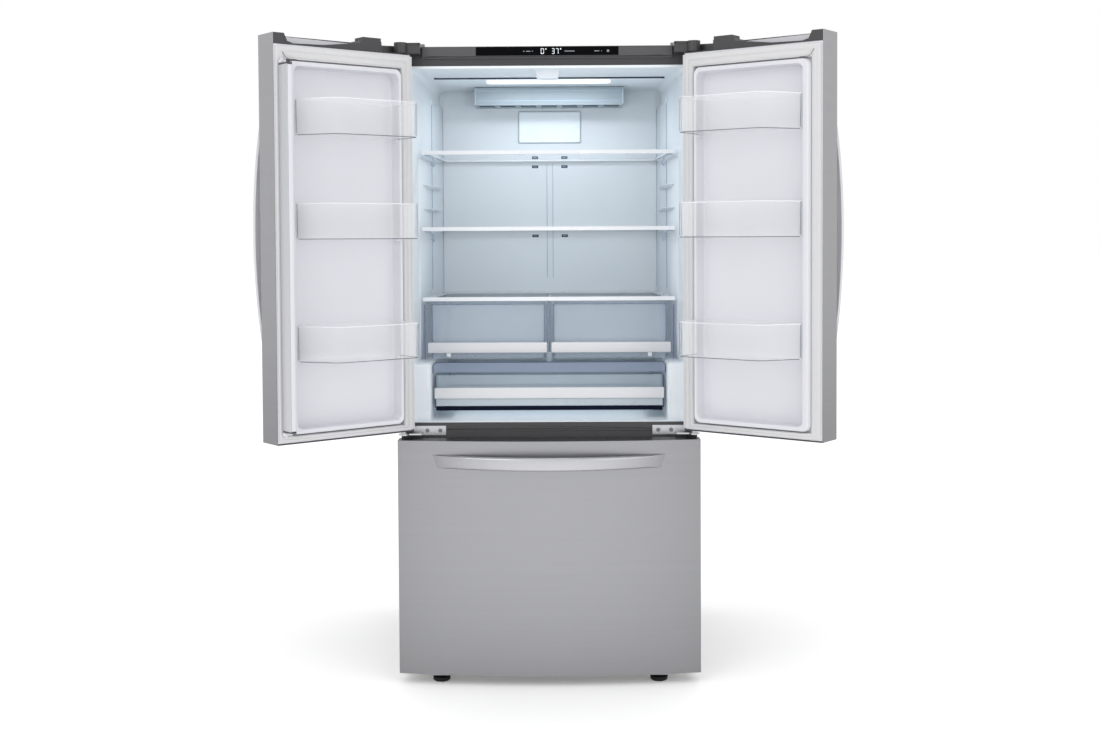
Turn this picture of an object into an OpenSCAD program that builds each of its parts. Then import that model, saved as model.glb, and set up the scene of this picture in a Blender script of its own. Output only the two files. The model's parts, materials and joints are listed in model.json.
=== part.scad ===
// French door refrigerator with a bottom freezer drawer.
// Origin on the floor, under the middle of the space that the object fills with its doors open.
// +X to the object's right as seen from the front, +Y to the back, +Z up.

/* [Cabinet] */
// Width of the doors and of the drawer front
body_w = 832; // [828:1:836]
// Height of the cabinet top above the floor
case_top = 1757; // [1750:1:1765]
// Depth of the cabinet without doors
case_depth = 727; // [720:1:740]
// Thickness of the painted sheet steel
sheet = 1.2; // [1:0.1:1.5]
// Thickness of the moulded plastic liners
liner_t = 2; // [1.5:0.1:2.5]

/* [Fridge compartment] */
// Height of the fridge floor
fridge_floor = 716; // [712:1:720]
// Height of the fridge ceiling
fridge_ceiling = 1697; // [1695:1:1700]
// Half width of the compartment at its mouth
mouth_half = 378; // [376:1:380]
// Half width of the compartment at its back wall
back_half = 350; // [346:1:354]
// Depth of the compartment's back wall
back_y = 640; // [636:1:644]
// Depth of the shelves' front edge, behind the door bins
shelf_y = 128; // [124:1:132]
// Heights of the tops of the two glass shelves
shelf_tops = [1479, 1260];
// Height of the top of the crisper cover
cover_top = 1058; // [1056:1:1060]

/* [Freezer compartment] */
// Height of the freezer floor
freezer_floor = 85; // [80:1:90]
// Height of the freezer ceiling
freezer_ceiling = 640; // [636:1:642]

/* [Doors] */
// Opening angle of the left door, from closed
left_open = 141; // [130:1:144]
// Opening angle of the right door, from closed
right_open = 143.5; // [130:0.5:144]
// Distance from the cabinet front to the doors' inner faces
door_gap = 20; // [19:0.5:22]
// Distance from the cabinet front to the doors' front at the outer edges
door_side_front = 68; // [66:1:70]
// How much further forward the bowed fronts reach at the middle
bow = 33; // [28:1:36]
// Height of the underside of the doors
door_bottom = 697; // [696:1:700]
// Distance of the hinge axis in front of the cabinet
hinge_y = 44.5; // [43:0.5:46]
// Distance of the hinge axis from the doors' outer edge
hinge_inset = 15; // [14:0.5:16]
// Heights of the undersides of the three bins on the left door
left_bin_floors = [1494, 1227, 911];
// Heights of the undersides of the three bins on the right door
right_bin_floors = [1503, 1227, 911];
// Height of a door bin
bin_h = 94; // [85:1:96]

/* [Drawer front] */
// Height of the underside of the freezer drawer front
drawer_bottom = 28; // [26:1:32]
// Height of the top of the freezer drawer front
drawer_top = 674; // [670:1:676]

/* [Hidden] */
// Levelling feet, which stand under the drawer front
foot_x = 302;
foot_y = -38;
foot_r = 24;
foot_stem_r = 5.8;
// Height of the underside of the base frame's tongues
tongue_z = 18;

$fn = 48;
eps = 0.2;
case_half = body_w / 2 - 3;
half_w = body_w / 2;
// Cabinet front plane, placed so that the open doors and the back stand evenly about the origin
front_y = -184;
// Radius and centre of the bowed fronts
bow_r = (half_w * half_w + bow * bow) / (2 * bow);
bow_centre = bow_r - door_side_front - bow;
door_inner = 2.5;
pin_x = half_w - hinge_inset;
pin_r = 8;
running = 0.05;
door_top = case_top;
cap_low = 1731;
foam_side_in = 2.3;
foam_bottom = 50;
machine_y = 490;
machine_top = 310;
step_y = 455;
step_z = 350;

// Half width of the fridge compartment at a depth y
function wall_x(y) = mouth_half - (mouth_half - back_half) * y / back_y;

// ---------- placing ----------
module at_cabinet() translate([0, front_y, 0]) children();

module at_left_door() at_cabinet()
    translate([-pin_x, -hinge_y, 0]) rotate([0, 0, -left_open]) translate([pin_x, hinge_y, 0]) children();

module at_right_door() at_cabinet()
    translate([pin_x, -hinge_y, 0]) rotate([0, 0, right_open]) translate([-pin_x, hinge_y, 0])
    mirror([1, 0, 0]) children();

module both_sides() {
    children();
    mirror([1, 0, 0]) children();
}

// A box given by its lowest and highest corners
module block(low, high) translate(low) cube(high - low);

// An upright prism over a plan outline
module prism(points, low, high) translate([0, 0, low]) linear_extrude(high - low) polygon(points);

// A plate with round corners in the XZ plane, from depth y0 to y1
module plate_xz(x0, x1, z0, z1, y0, y1, r) translate([0, y1, 0]) rotate([90, 0, 0])
    linear_extrude(y1 - y0) translate([x0 + r, z0 + r]) offset(r) square([x1 - x0 - 2 * r, z1 - z0 - 2 * r]);

// Plan of the fronts: everything behind the bowed surface, moved back by inset
module bowed_plan(x0, x1, y_in, inset) intersection() {
    translate([x0, -200]) square([x1 - x0, 200 + y_in]);
    translate([0, bow_centre]) circle(bow_r - inset, $fn = 720);
}

module upright_pin(x, y, z0, z1, r) translate([x, y, z0]) cylinder(h = z1 - z0, r = r);

// ---------- cabinet ----------
module cabinet_shell() color([0.33, 0.33, 0.34]) difference() {
    block([-case_half, 0, 38], [case_half, case_depth - 2, case_top]);
    block([-case_half + sheet, sheet, 30], [case_half - sheet, case_depth, case_top - sheet]);
    block([-mouth_half - 2.5, -1, 60], [mouth_half + 2.5, 5, fridge_ceiling + 7.6]);
    block([-mouth_half, -1, 30], [mouth_half, 5, 61]);
}

module rear_panel() color([0.55, 0.56, 0.57]) difference() {
    union() {
        block([-case_half + 1.5, case_depth - 1.8, machine_top + 2], [case_half - 1.5, case_depth - 0.6, case_top - 4]);
        for (x = [-280, -140, 0, 140, 280])
            block([x - 12, case_depth - 0.7, 380], [x + 12, case_depth + 2, 1690]);
    }
    for (x = [-390, 390], z = [420, 800, 1180, 1560, 1735])
        translate([x, case_depth, z]) rotate([90, 0, 0]) cylinder(h = 6, r = 2.5, center = true);
}

module base_frame() color([0.45, 0.46, 0.48]) difference() {
    union() {
        block([-404, 18, 46], [404, case_depth - 6, 49]);
        both_sides() block([-404, 18, 32], [-401, case_depth - 6, 47]);
        block([-404, 18, 36], [404, 21, 47]);
        // Tongues under the drawer front that stand on the levelling feet
        both_sides() block([-foot_x - 24, foot_y - 18, tongue_z], [-foot_x + 24, 20, tongue_z + 3]);
        both_sides() block([-foot_x - 24, 18, tongue_z], [-foot_x + 24, 21, 37]);
        // Roller brackets at the back
        both_sides() for (x = [-346, -314]) block([x - 1.5, 632, 14], [x + 1.5, 668, 47]);
    }
    // Threaded seats of the levelling feet
    both_sides() upright_pin(-foot_x, foot_y, tongue_z - 2, tongue_z + 6, foot_stem_r + 0.2);
    // Axle holes of the rollers
    translate([-380, 650, 19]) rotate([0, 90, 0]) cylinder(h = 760, r = 4 + running);
    for (x = [-280:70:280]) block([x - 20, 250, 40], [x + 20, 290, 60]);
}

// Insulation: one slab for each wall, with hairline gaps between slabs
module cabinet_foam() color([0.93, 0.88, 0.68]) {
    x_out = case_half - sheet - eps;
    y_back = case_depth - 2.6;
    top = case_top - sheet - eps;
    ledge = step_z - liner_t - eps;
    // Side walls, tapering beside the fridge and straight beside the freezer
    both_sides() prism([
        [-x_out, 2], [-mouth_half - foam_side_in, 2], [-back_half - foam_side_in, back_y + 2.2],
        [-back_half - foam_side_in, y_back], [-x_out, y_back]
    ], freezer_ceiling + 2, top);
    both_sides() block([-x_out, 2, foam_bottom], [-back_half - foam_side_in, case_depth - 4.4, freezer_ceiling + 1.6]);
    // Top wall
    prism([
        [-mouth_half - 2, 6], [mouth_half + 2, 6], [back_half + 2, back_y + 2], [-back_half - 2, back_y + 2]
    ], fridge_ceiling + liner_t + eps, top);
    // Back wall behind both compartments
    block([-back_half - 2, back_y + 2.4, machine_top + 2], [back_half + 2, y_back, top]);
    // Wall between the two compartments
    prism([
        [-mouth_half - 2, 3.5], [mouth_half + 2, 3.5], [back_half + 2, back_y + 2], [-back_half - 2, back_y + 2]
    ], freezer_ceiling + liner_t + eps, fridge_floor - liner_t - eps);
    // Freezer floor and the step over the machine compartment
    block([-back_half - 2, 6, foam_bottom], [back_half + 2, machine_y - 2, freezer_floor - liner_t - eps]);
    block([-back_half - 2, step_y + liner_t + eps, freezer_floor - liner_t], [back_half + 2, machine_y - 2, ledge]);
    block([-back_half - 2, machine_y - 1.8, machine_top + 2], [back_half + 2, back_y + 2, ledge]);
    // Fillings of the low side walls beside the pantry drawer
    both_sides() prism(side_block_plan(3.2), fridge_floor + eps, 873);
}

// Plan of the low side wall beside the pantry drawer, shrunk by a margin
function side_block_plan(m) = [
    [-wall_x(24) + eps, 24 + m], [-333 - m, 34 + m], [-333 - m, back_y - 42 - m], [-wall_x(back_y - 42) + eps, back_y - 42 - m]
];

module fridge_liner() color([0.90, 0.94, 0.97]) {
    difference() {
        prism([
            [-mouth_half - 2, 1], [mouth_half + 2, 1], [back_half + 2, back_y + 2], [-back_half - 2, back_y + 2]
        ], fridge_floor - liner_t, fridge_ceiling + liner_t);
        prism([
            [-mouth_half, -1], [mouth_half, -1], [back_half, back_y], [-back_half, back_y]
        ], fridge_floor, fridge_ceiling);
        // Ceiling slot in front of the lamp
        block([-329, 226, fridge_ceiling - 1], [335, 230, fridge_ceiling + 1]);
    }
    // Mouth flange that meets the cabinet front
    difference() {
        block([-mouth_half - 2.2, -0.3, fridge_floor - liner_t], [mouth_half + 2.2, 1.2, fridge_ceiling + 7.3]);
        block([-mouth_half, -2, fridge_floor], [mouth_half, 3, fridge_ceiling]);
    }
    both_sides() difference() {
        prism(side_block_plan(0), fridge_floor - 1, 876);
        prism(side_block_plan(3), fridge_floor - 2, 873.4);
    }
}

module freezer_liner() color([0.88, 0.91, 0.94]) {
    difference() {
        union() {
            freezer_void(liner_t, -1);
            // Mouth flange that meets the cabinet front
            block([-mouth_half - 2, -0.3, foam_bottom + 11], [mouth_half + 2, 1.2, freezer_ceiling + 2.4]);
        }
        freezer_void(0, 2);
    }
}

// Inside of the freezer, grown by a margin; reach carries it forward past the mouth
module freezer_void(grow, reach) rotate([90, 0, 90]) translate([0, 0, -back_half - grow])
    linear_extrude(2 * back_half + 2 * grow) polygon([
        [-reach, freezer_floor - grow], [step_y + grow, freezer_floor - grow],
        [step_y + grow, step_z - grow], [back_y + grow, step_z - grow],
        [back_y + grow, freezer_ceiling + grow], [-reach, freezer_ceiling + grow]
    ]);

module divider_cover() color([0.28, 0.28, 0.29]) difference() {
    block([-mouth_half - 2, -0.5, freezer_ceiling + 3], [mouth_half + 2, 2.8, fridge_floor - liner_t - 0.1]);
    both_sides() for (x = [-340, -304]) translate([x, 0, 692]) rotate([90, 0, 0]) cylinder(h = 12, r = 3.1, center = true);
}

module control_housing() color([0.43, 0.43, 0.44]) difference() {
    union() {
        block([-345, -11, 1729], [345, -0.2, case_top - 0.5]);
        block([-345, -4, 1724], [345, -0.2, 1729.1]);
    }
    block([-197, -12, 1731], [197, -8.5, case_top - 2]);
    for (x = [-300, 300]) block([x - 18, -12, 1729.5], [x + 18, -9.5, 1731]);
}

module display_window() color([0.03, 0.03, 0.04]) block([-196.8, -11, 1731.1], [196.8, -8.6, case_top - 2.2]);

// ---------- hinges ----------
module top_hinge() {
    difference() {
        union() {
            // Plate on the cabinet top and arm over the door
            block([-408, 4, case_top], [-352, 92, case_top + 4]);
            block([-397.5, -hinge_y, case_top], [-352, 5, case_top + 4]);
            upright_pin(-pin_x, -hinge_y, case_top, case_top + 4, 16);
        }
        for (p = [[-398, 74], [-364, 74], [-380, 34]]) upright_pin(p[0], p[1], case_top - 1, case_top + 5, 3.1);
    }
    upright_pin(-pin_x, -hinge_y, 1702, case_top + 2, pin_r);
}

module bottom_hinge() {
    difference() {
        union() {
            // Upright plate on the divider and arm under the door
            block([-378, -3.5, 679], [-288, -0.6, 705]);
            block([-396, -hinge_y, 685], [-352, -3, 689]);
            upright_pin(-pin_x, -hinge_y, 685, 689, 15);
        }
        for (x = [-340, -304]) translate([x, 0, 692]) rotate([90, 0, 0]) cylinder(h = 12, r = 3.1, center = true);
    }
    upright_pin(-pin_x, -hinge_y, 687, 722, pin_r);
}

module door_hinges() color([0.75, 0.76, 0.78]) both_sides() {
    top_hinge();
    bottom_hinge();
}

// Rear part of a hinge cover, rising towards the back; m is taken off its walls
module cover_rear(m) rotate([90, 0, 90]) translate([0, 0, -412 + m]) linear_extrude(64 - 2 * m) polygon([
    [-1, case_top + (m > 0 ? -1 : 0.1)], [98 - m, case_top + (m > 0 ? -1 : 0.1)],
    [98 - m, case_top + 20 - m], [84, case_top + 20 - m], [-1, case_top + 6.4 - m]
]);

module hinge_covers() color([0.36, 0.36, 0.37]) both_sides() difference() {
    union() {
        cover_rear(0);
        block([-399.8, -hinge_y, case_top - 23], [-348, -0.6, case_top + 6.4]);
        upright_pin(-pin_x, -hinge_y, case_top - 23, case_top + 6.4, 18);
    }
    // Room for the hinge inside
    cover_rear(1.6);
    block([-397.9, -hinge_y, case_top - 0.5], [-350, 2, case_top + 4.6]);
    upright_pin(-pin_x, -hinge_y, case_top - 1, case_top + 4.6, 16.4);
    upright_pin(-pin_x, -hinge_y, case_top - 30, case_top, 8.6);
}

module bolt(r_head, h_head, r_shank, l_shank) {
    cylinder(h = h_head, r = r_head, $fn = 6);
    translate([0, 0, -l_shank]) cylinder(h = l_shank + 0.5, r = r_shank);
}

module hinge_bolts() color([0.80, 0.81, 0.83]) both_sides() {
    for (p = [[-398, 74], [-364, 74], [-380, 34]]) translate([p[0], p[1], case_top + 4.1]) bolt(5.5, 4, 2.9, 4);
    for (x = [-340, -304]) translate([x, -3.7, 692]) rotate([90, 0, 0]) bolt(6, 3.5, 2.9, 5);
}

// ---------- inside the fridge ----------
module air_duct() color([0.89, 0.93, 0.96]) {
    duct_y = back_y - 40;
    difference() {
        block([-341, duct_y, 880], [341, back_y - 0.5, 1690]);
        block([-338, duct_y + 3, 877], [338, back_y + 1, 1687]);
        // Vents beside the centre channel
        both_sides() for (z = [1450, 1479, 1229])
            block([-57, duct_y - 1, z], [-37, duct_y + 4, z + 8.6]);
        block([-9, duct_y - 1, 1100], [9, duct_y + 1, 1465]);
        // Seat of the plate
        block([-100, duct_y - 1, 1529], [100, duct_y + 1.2, 1631]);
    }
    // Blank plate over the duct
    plate_xz(-96, 96, 1533, 1627, duct_y - 3, duct_y + 1, 5);
    // Outlet housing under the ceiling
    difference() {
        block([-232, duct_y - 126, 1640], [232, duct_y - 0.5, 1694]);
        block([-228, duct_y - 122, 1644], [228, duct_y - 4, 1700]);
        for (x = [-195:65:195]) block([x - 24, duct_y - 105, 1638], [x + 24, duct_y - 30, 1646]);
    }
}

module ceiling_lamp() color([0.97, 0.98, 1.0]) hull() {
    for (x = [-171, 171], y = [310, 338]) translate([x, y, fridge_ceiling - 5]) cylinder(h = 5, r = 14, $fn = 32);
}

module shelf_plan(y0, y1, margin) polygon([
    [-wall_x(y0) + margin, y0], [wall_x(y0) - margin, y0], [wall_x(y1) - margin, y1], [-wall_x(y1) + margin, y1]
]);

module shelf_pane(top) translate([0, 0, top - 5]) linear_extrude(4) shelf_plan(shelf_y + 8, 590, 14);

module shelf_glass() color([0.75, 0.88, 0.90, 0.4]) {
    for (top = shelf_tops) shelf_pane(top);
    shelf_pane(cover_top);
}

// Frame round a shelf pane: front trim, side rails and rear trim
module shelf_frame(top) difference() {
    union() {
        translate([0, 0, top - 11]) linear_extrude(11) shelf_plan(shelf_y, shelf_y + 14, 10);
        translate([0, 0, top - 11]) linear_extrude(9) shelf_plan(shelf_y + 13, 596, 10);
    }
    translate([0, 0, top - 20]) linear_extrude(30) shelf_plan(shelf_y + 20, 584, 26);
    translate([0, 0, top - 5.1]) linear_extrude(30) shelf_plan(shelf_y + 7.8, 590.2, 13.8);
    // Slimmer towards the back, where the rails lie on the ledges
    block([-400, shelf_y + 60, top - 12], [400, 700, top - 8]);
}

module shelf_frames() color([0.95, 0.97, 0.98]) for (top = shelf_tops) shelf_frame(top);

module crisper_frame() color([0.80, 0.85, 0.90]) {
    shelf_frame(cover_top);
    // Clear side walls beside the crispers
    both_sides() prism([
        [-wall_x(140) + 12, 140], [-wall_x(140) + 15, 140], [-wall_x(580) + 15, 580], [-wall_x(580) + 12, 580]
    ], 880, cover_top - 22);
    // Partition between the crispers
    block([-3, 142, 868], [3, 596, cover_top - 12]);
    // Cover of the pantry drawer, with its front lip
    block([-331, 90, 860], [331, 590, 867]);
    difference() {
        plate_xz(-332, 332, 842, 875, 84, 90, 12);
        block([-340, 80, 830], [340, 95, 846]);
    }
}

module liner_fittings() color([0.95, 0.96, 0.98]) {
    // Guide block that turns the flipper as the left door shuts
    difference() {
        hull() {
            block([-35, 52, 1689], [35, 96, fridge_ceiling - 0.1]);
            block([-28, 56, 1675], [28, 92, 1688]);
        }
        hull() {
            upright_pin(-14, 74, 1672, 1682, 5);
            upright_pin(16, 50, 1672, 1682, 9);
        }
    }
    // Ledges that carry the shelves, with two spare heights
    both_sides() for (z = [cover_top, shelf_tops[1], 1325, 1394, shelf_tops[0]])
        prism([
            [-wall_x(196) + 0.2, 196], [-wall_x(196) + 18, 196], [-wall_x(560) + 18, 560], [-wall_x(560) + 0.2, 560]
        ], z - 18, z - 8.4);
    // Runners under the pantry drawer
    both_sides() block([-318, 240, fridge_floor + 0.2], [-300, 560, 737.6]);
}

// ---------- freezer fixed parts ----------
module drawer_rails() color([0.72, 0.73, 0.75]) both_sides() difference() {
    block([-349.5, 22, 300], [-333, 446, 340]);
    block([-345, 18, 308], [-330, 450, 332]);
}

module evaporator() color([0.75, 0.77, 0.79]) {
    // Panel that covers the coil, with air slots
    difference() {
        block([-345, back_y - 62, step_z + 1], [345, back_y - 59, freezer_ceiling - 1]);
        for (x = [-240:60:240]) block([x - 20, back_y - 70, 600], [x + 20, back_y - 50, 612]);
        block([-280, back_y - 70, step_z + 6], [280, back_y - 50, step_z + 18]);
    }
    // Finned coil
    for (x = [-210:15:210]) block([x - 0.6, back_y - 54, 400], [x + 0.6, back_y - 8, 500]);
    for (y = [back_y - 44, back_y - 18], z = [420, 450, 480])
        translate([-225, y, z]) rotate([0, 90, 0]) cylinder(h = 450, r = 4.5);
}

module evaporator_fan() color([0.2, 0.2, 0.22]) translate([0, back_y - 40, 560]) rotate([90, 0, 0]) {
    cylinder(h = 16, r = 12, center = true);
    for (a = [0:72:288]) rotate([0, 0, a]) translate([9, -5, -5]) rotate([28, 0, 0]) cube([31, 11, 2]);
}

// ---------- base and machine compartment ----------
module front_feet() color([0.08, 0.08, 0.08]) both_sides() translate([-foot_x, foot_y, 0]) {
    cylinder(h = 4, r1 = foot_r - 4, r2 = foot_r);
    translate([0, 0, 4]) cylinder(h = 8, r = foot_r);
    translate([0, 0, 11]) cylinder(h = tongue_z - 12, r = 11, $fn = 6);
    translate([0, 0, 11]) cylinder(h = drawer_bottom - 13, r = foot_stem_r);
}

module rear_rollers() color([0.12, 0.12, 0.12]) {
    both_sides() translate([-342, 650, 19]) rotate([0, 90, 0]) cylinder(h = 24, r = 19);
    translate([-352, 650, 19]) rotate([0, 90, 0]) cylinder(h = 704, r = 4);
}

module compressor() color([0.07, 0.07, 0.08]) translate([190, 600, 0]) {
    translate([0, 0, 72]) cylinder(h = 110, r = 78);
    translate([0, 0, 182]) intersection() {
        sphere(r = 78);
        cylinder(h = 60, r = 90);
    }
    for (x = [-62, 62], y = [-62, 62]) translate([x, y, 49.2]) cylinder(h = 24, r = 11);
    translate([0, 0, 66]) difference() {
        cube([150, 150, 6], center = true);
        for (x = [-62, 62], y = [-62, 62]) translate([x, y, 0]) cylinder(h = 20, r = 4, center = true);
    }
    translate([76, -24, 100]) cube([26, 48, 56]);
}

module condenser() color([0.1, 0.1, 0.11]) {
    for (i = [0:4], k = [0:3]) translate([-330, 560 + 36 * k, 70 + 40 * i]) rotate([0, 90, 0]) cylinder(h = 170, r = 3);
    for (x = [-334, -164]) block([x, 545, 49.2], [x + 4, 682, 245]);
}

module condenser_fan() color([0.15, 0.15, 0.16]) translate([-90, 610, 150]) rotate([0, 90, 0]) {
    cylinder(h = 40, r = 20, center = true);
    for (a = [0:60:300]) rotate([0, 0, a]) translate([17, -14, -8]) rotate([30, 0, 0]) cube([52, 30, 2.5]);
}

module machine_cover() color([0.5, 0.51, 0.52]) {
    difference() {
        block([-case_half + 6, case_depth - 4, 52], [case_half - 6, case_depth - 1, machine_top]);
        for (x = [-330:30:330], z = [80:40:160]) block([x - 9, case_depth - 8, z], [x + 9, case_depth + 2, z + 22]);
        for (x = [-385, 385], z = [70, 290])
            translate([x, case_depth, z]) rotate([90, 0, 0]) cylinder(h = 12, r = 2.5, center = true);
        translate([300, case_depth, 250]) rotate([90, 0, 0]) cylinder(h = 12, r = 9, center = true);
    }
    // Gland where the power lead would leave
    translate([300, case_depth + 5, 250]) rotate([90, 0, 0]) difference() {
        union() {
            cylinder(h = 12, r = 8.8);
            cylinder(h = 5.9, r = 12);
        }
        translate([0, 0, -1]) cylinder(h = 20, r = 4.5);
    }
}

// ---------- doors, drawn closed on the left side ----------
door_x0 = -half_w;
door_x1 = -door_inner;
foam_gap = 0.3;
cap_gap = 0.8;
// Pivot of the flipper on the left door
flip_x = -18;
flip_y = 0;

module door_skin() color([0.72, 0.72, 0.74]) difference() {
    translate([0, 0, door_bottom]) linear_extrude(door_top - door_bottom) difference() {
        bowed_plan(door_x0, door_x1, -door_gap, 0);
        bowed_plan(door_x0 + sheet, door_x1 - sheet, 0, sheet);
    }
    // Clearance for the hinge and its cover at the outer edge
    block([door_x0 - 1, -door_side_front + 1.2, cap_low], [door_x0 + 5, 5, door_top + 5]);
    // Recess for the gripping edge of the inner panel
    block([door_x0 - 1, -door_gap - 1, door_bottom - 1], [door_x0 + sheet + 1, -door_gap + 1, door_top + 1]);
}

module door_foam() color([0.93, 0.88, 0.68]) difference() {
    translate([0, 0, door_bottom + 10]) linear_extrude(cap_low - 14 - door_bottom)
        bowed_plan(door_x0 + sheet + foam_gap, door_x1 - sheet - foam_gap, -38, sheet + foam_gap);
    // Sleeves of the hinge pins
    upright_pin(-pin_x, -hinge_y, 1680, 1760, 13.5);
    upright_pin(-pin_x, -hinge_y, 690, 740, 13.5);
}

// Low wall round the bins on the inner panel, and the recess inside it: x from and to, z from and to
dike = [-374, -32, 724, 1685];
recess = [-364, -50, 738, 1671];
dike_depth = 5;
bin_back = -30;
module door_liner(floors, ears) color([0.89, 0.90, 0.92]) {
    corner = 14;
    difference() {
        union() {
            // Flange round the inner face
            block([door_x0 + sheet + 0.2, -door_gap - 2, door_bottom + 4], [door_x1 - sheet - 0.2, -door_gap, 1728]);
            // Dike that reaches into the compartment
            block([dike[0], -door_gap - 1, dike[2]], [dike[1], dike_depth, dike[3]]);
            block([door_x0 + 6, -37.6, door_bottom + 12], [door_x1 - 6, -door_gap - 1, 1724]);
            // Ears and pins that carry the flipper
            if (ears) for (z = [dike[2], dike[3] - 8]) {
                block([dike[1] - 1, -7, z], [flip_x + 7, dike_depth, z + 8]);
                upright_pin(flip_x, flip_y, z - 8, z + 16, 3);
            }
        }
        plate_xz(recess[0], recess[1], recess[2], recess[3], bin_back - 4, dike_depth + 1, corner);
        upright_pin(-pin_x, -hinge_y, 690, 1760, 14);
    }
    // Pegs in the recess on which the bins hang
    for (floor_z = floors, x = [recess[0] - 1, recess[1] - 5])
        block([x, bin_back + 6, floor_z - 7], [x + 6, dike_depth - 9, floor_z - 0.5]);
}

// Gasket with its wide base; the strip at the handle side is thinner, because it meets the flipper
module door_gasket() color([0.80, 0.80, 0.81]) {
    x0 = -405;
    x1 = -7;
    z0 = 706;
    z1 = 1722;
    face = -0.8;
    thin_face = -10.6;
    difference() {
        union() {
            block([x0, -door_gap + 0.1, z0], [dike[1] + 1, face, z1]);
            // Lower lip at the hinge side, which swings past the cabinet's edge
            block([x0 - 6, -door_gap + 0.1, z0], [x0 + 1, face - 2.4, z1]);
            block([dike[1], -door_gap + 0.1, z0], [x1, thin_face, z1]);
        }
        block([dike[0] - 3, -door_gap - 1, dike[2] - 3], [dike[1] + 1, 5, dike[3] + 3]);
    }
}

module door_caps() color([0.29, 0.29, 0.30]) {
    // Top cap: high towards the handle edge, low over the hinge, with a long scooped recess
    difference() {
        union() {
            translate([0, 0, cap_low - 2.5]) linear_extrude(2.4)
                bowed_plan(door_x0 + sheet + cap_gap, door_x1 - sheet - cap_gap, -door_gap, sheet + cap_gap);
            intersection() {
                translate([0, 0, cap_low - 2.5]) linear_extrude(door_top - cap_low + 2.3)
                    bowed_plan(door_x0 + 90, door_x1 - sheet - cap_gap, -door_gap, sheet + cap_gap);
                block([-500, -200, 0], [0, 0, 3000]);
            }
            // Raised block beside the hinge
            block([-324, -62, cap_low], [-268, -door_gap, door_top + 9]);
            upright_pin(-pin_x, -hinge_y, 1690, cap_low - 0.5, 13);
        }
        // Scooped recess, shallower towards the hinge
        translate([0, -door_gap + 1, 0]) rotate([90, 0, 0]) linear_extrude(56) polygon([
            [-34, door_top + 1], [-44, cap_low + 6], [-62, cap_low + 1], [-150, cap_low + 4],
            [-258, door_top - 8], [-262, door_top + 1]
        ]);
        upright_pin(-pin_x, -hinge_y, 1600, 1800, pin_r + running);
    }
    // Bottom cap with the lower hinge sleeve
    difference() {
        union() {
            translate([0, 0, door_bottom]) linear_extrude(3)
                bowed_plan(door_x0 + sheet + cap_gap, door_x1 - sheet - cap_gap, -door_gap, sheet + cap_gap);
            upright_pin(-pin_x, -hinge_y, door_bottom, 733, 13);
        }
        upright_pin(-pin_x, -hinge_y, 600, 800, pin_r + running);
    }
}

// Bowed bar handle whose ends meet the door front
handle_x = -20;
handle_z = [905, 1575];
module door_handle() color([0.80, 0.80, 0.82]) {
    mid_z = (handle_z[0] + handle_z[1]) / 2;
    half_l = (handle_z[1] - handle_z[0]) / 2;
    stand = 58;
    front = bow_centre - sqrt(bow_r * bow_r - handle_x * handle_x);
    r_out = (half_l * half_l + stand * stand) / (2 * stand);
    r_in = r_out - 13;
    translate([handle_x - 12, front, mid_z]) rotate([90, 0, 90]) linear_extrude(24) intersection() {
        difference() {
            translate([r_out - stand, 0]) circle(r_out, $fn = 360);
            translate([r_out - stand, 0]) circle(r_in, $fn = 360);
        }
        translate([-stand - 5, -half_l + 12]) square([stand + 4.2, 2 * half_l - 24]);
    }
}

// Door bin, drawn on the left door in the closed position
bin_in = [recess[0] + 0.6, recess[1] - 0.6];
bin_front = 112;
bin_wall = 2.5;
function bin_plan(m) = [
    [bin_in[0] + m, bin_back + m], [bin_in[0] + m, 96 + m / 2], [bin_in[0] + 16 + m / 2, bin_front - m],
    [-112 - m / 2, bin_front - m], [bin_in[1] - m, 6 + m / 4], [bin_in[1] - m, bin_back + m]
];

module door_bin(floor_z) color([0.86, 0.90, 0.92, 0.45]) difference() {
    prism(bin_plan(0), floor_z, floor_z + bin_h);
    prism(bin_plan(bin_wall), floor_z + bin_wall, floor_z + bin_h + 1);
    // Low back wall
    block([bin_in[0] + 20, bin_back - 1, floor_z + 60], [bin_in[1] - 20, bin_back + 4, floor_z + bin_h + 1]);
}

// Flipper folded beside the left door's dike
module flipper() color([0.66, 0.67, 0.69]) difference() {
    union() {
        block([-27, -7.5, dike[2] + 9], [-11, 38, dike[3] - 9]);
        // Pin that meets the ceiling guide
        upright_pin(flip_x - 3, 26, dike[3] - 10, dike[3], 5);
    }
    for (z = [dike[2], dike[3] - 17]) upright_pin(flip_x, flip_y, z, z + 17, 3 + running);
}

// ---------- freezer drawer ----------
module freezer_skin() color([0.70, 0.70, 0.72]) translate([0, 0, drawer_bottom])
    linear_extrude(drawer_top - drawer_bottom) difference() {
        bowed_plan(-half_w, half_w, -door_gap, 0);
        bowed_plan(-half_w + sheet, half_w - sheet, 0, sheet);
    }

module freezer_foam() color([0.93, 0.88, 0.68]) translate([0, 0, drawer_bottom + 8])
    linear_extrude(drawer_top - drawer_bottom - 16)
    bowed_plan(-half_w + sheet + foam_gap, half_w - sheet - foam_gap, -door_gap - 3, sheet + foam_gap);

module freezer_panel() color([0.89, 0.90, 0.92]) {
    block([-half_w + 2, -door_gap - 2.6, drawer_bottom + 5], [half_w - 2, -door_gap, drawer_top - 6]);
    block([-336, -door_gap - 1, 110], [336, 12, 615]);
}

module freezer_gasket() color([0.80, 0.80, 0.81]) difference() {
    block([-404, -door_gap + 0.1, 66], [404, -0.8, 664]);
    block([-388, -door_gap - 1, 82], [388, 5, 648]);
}

module freezer_caps() color([0.25, 0.25, 0.26]) {
    for (z = [drawer_bottom, drawer_top - 5]) translate([0, 0, z]) linear_extrude(5)
        bowed_plan(-half_w + sheet + foam_gap, half_w - sheet - foam_gap, -door_gap, sheet + foam_gap);
}

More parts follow.
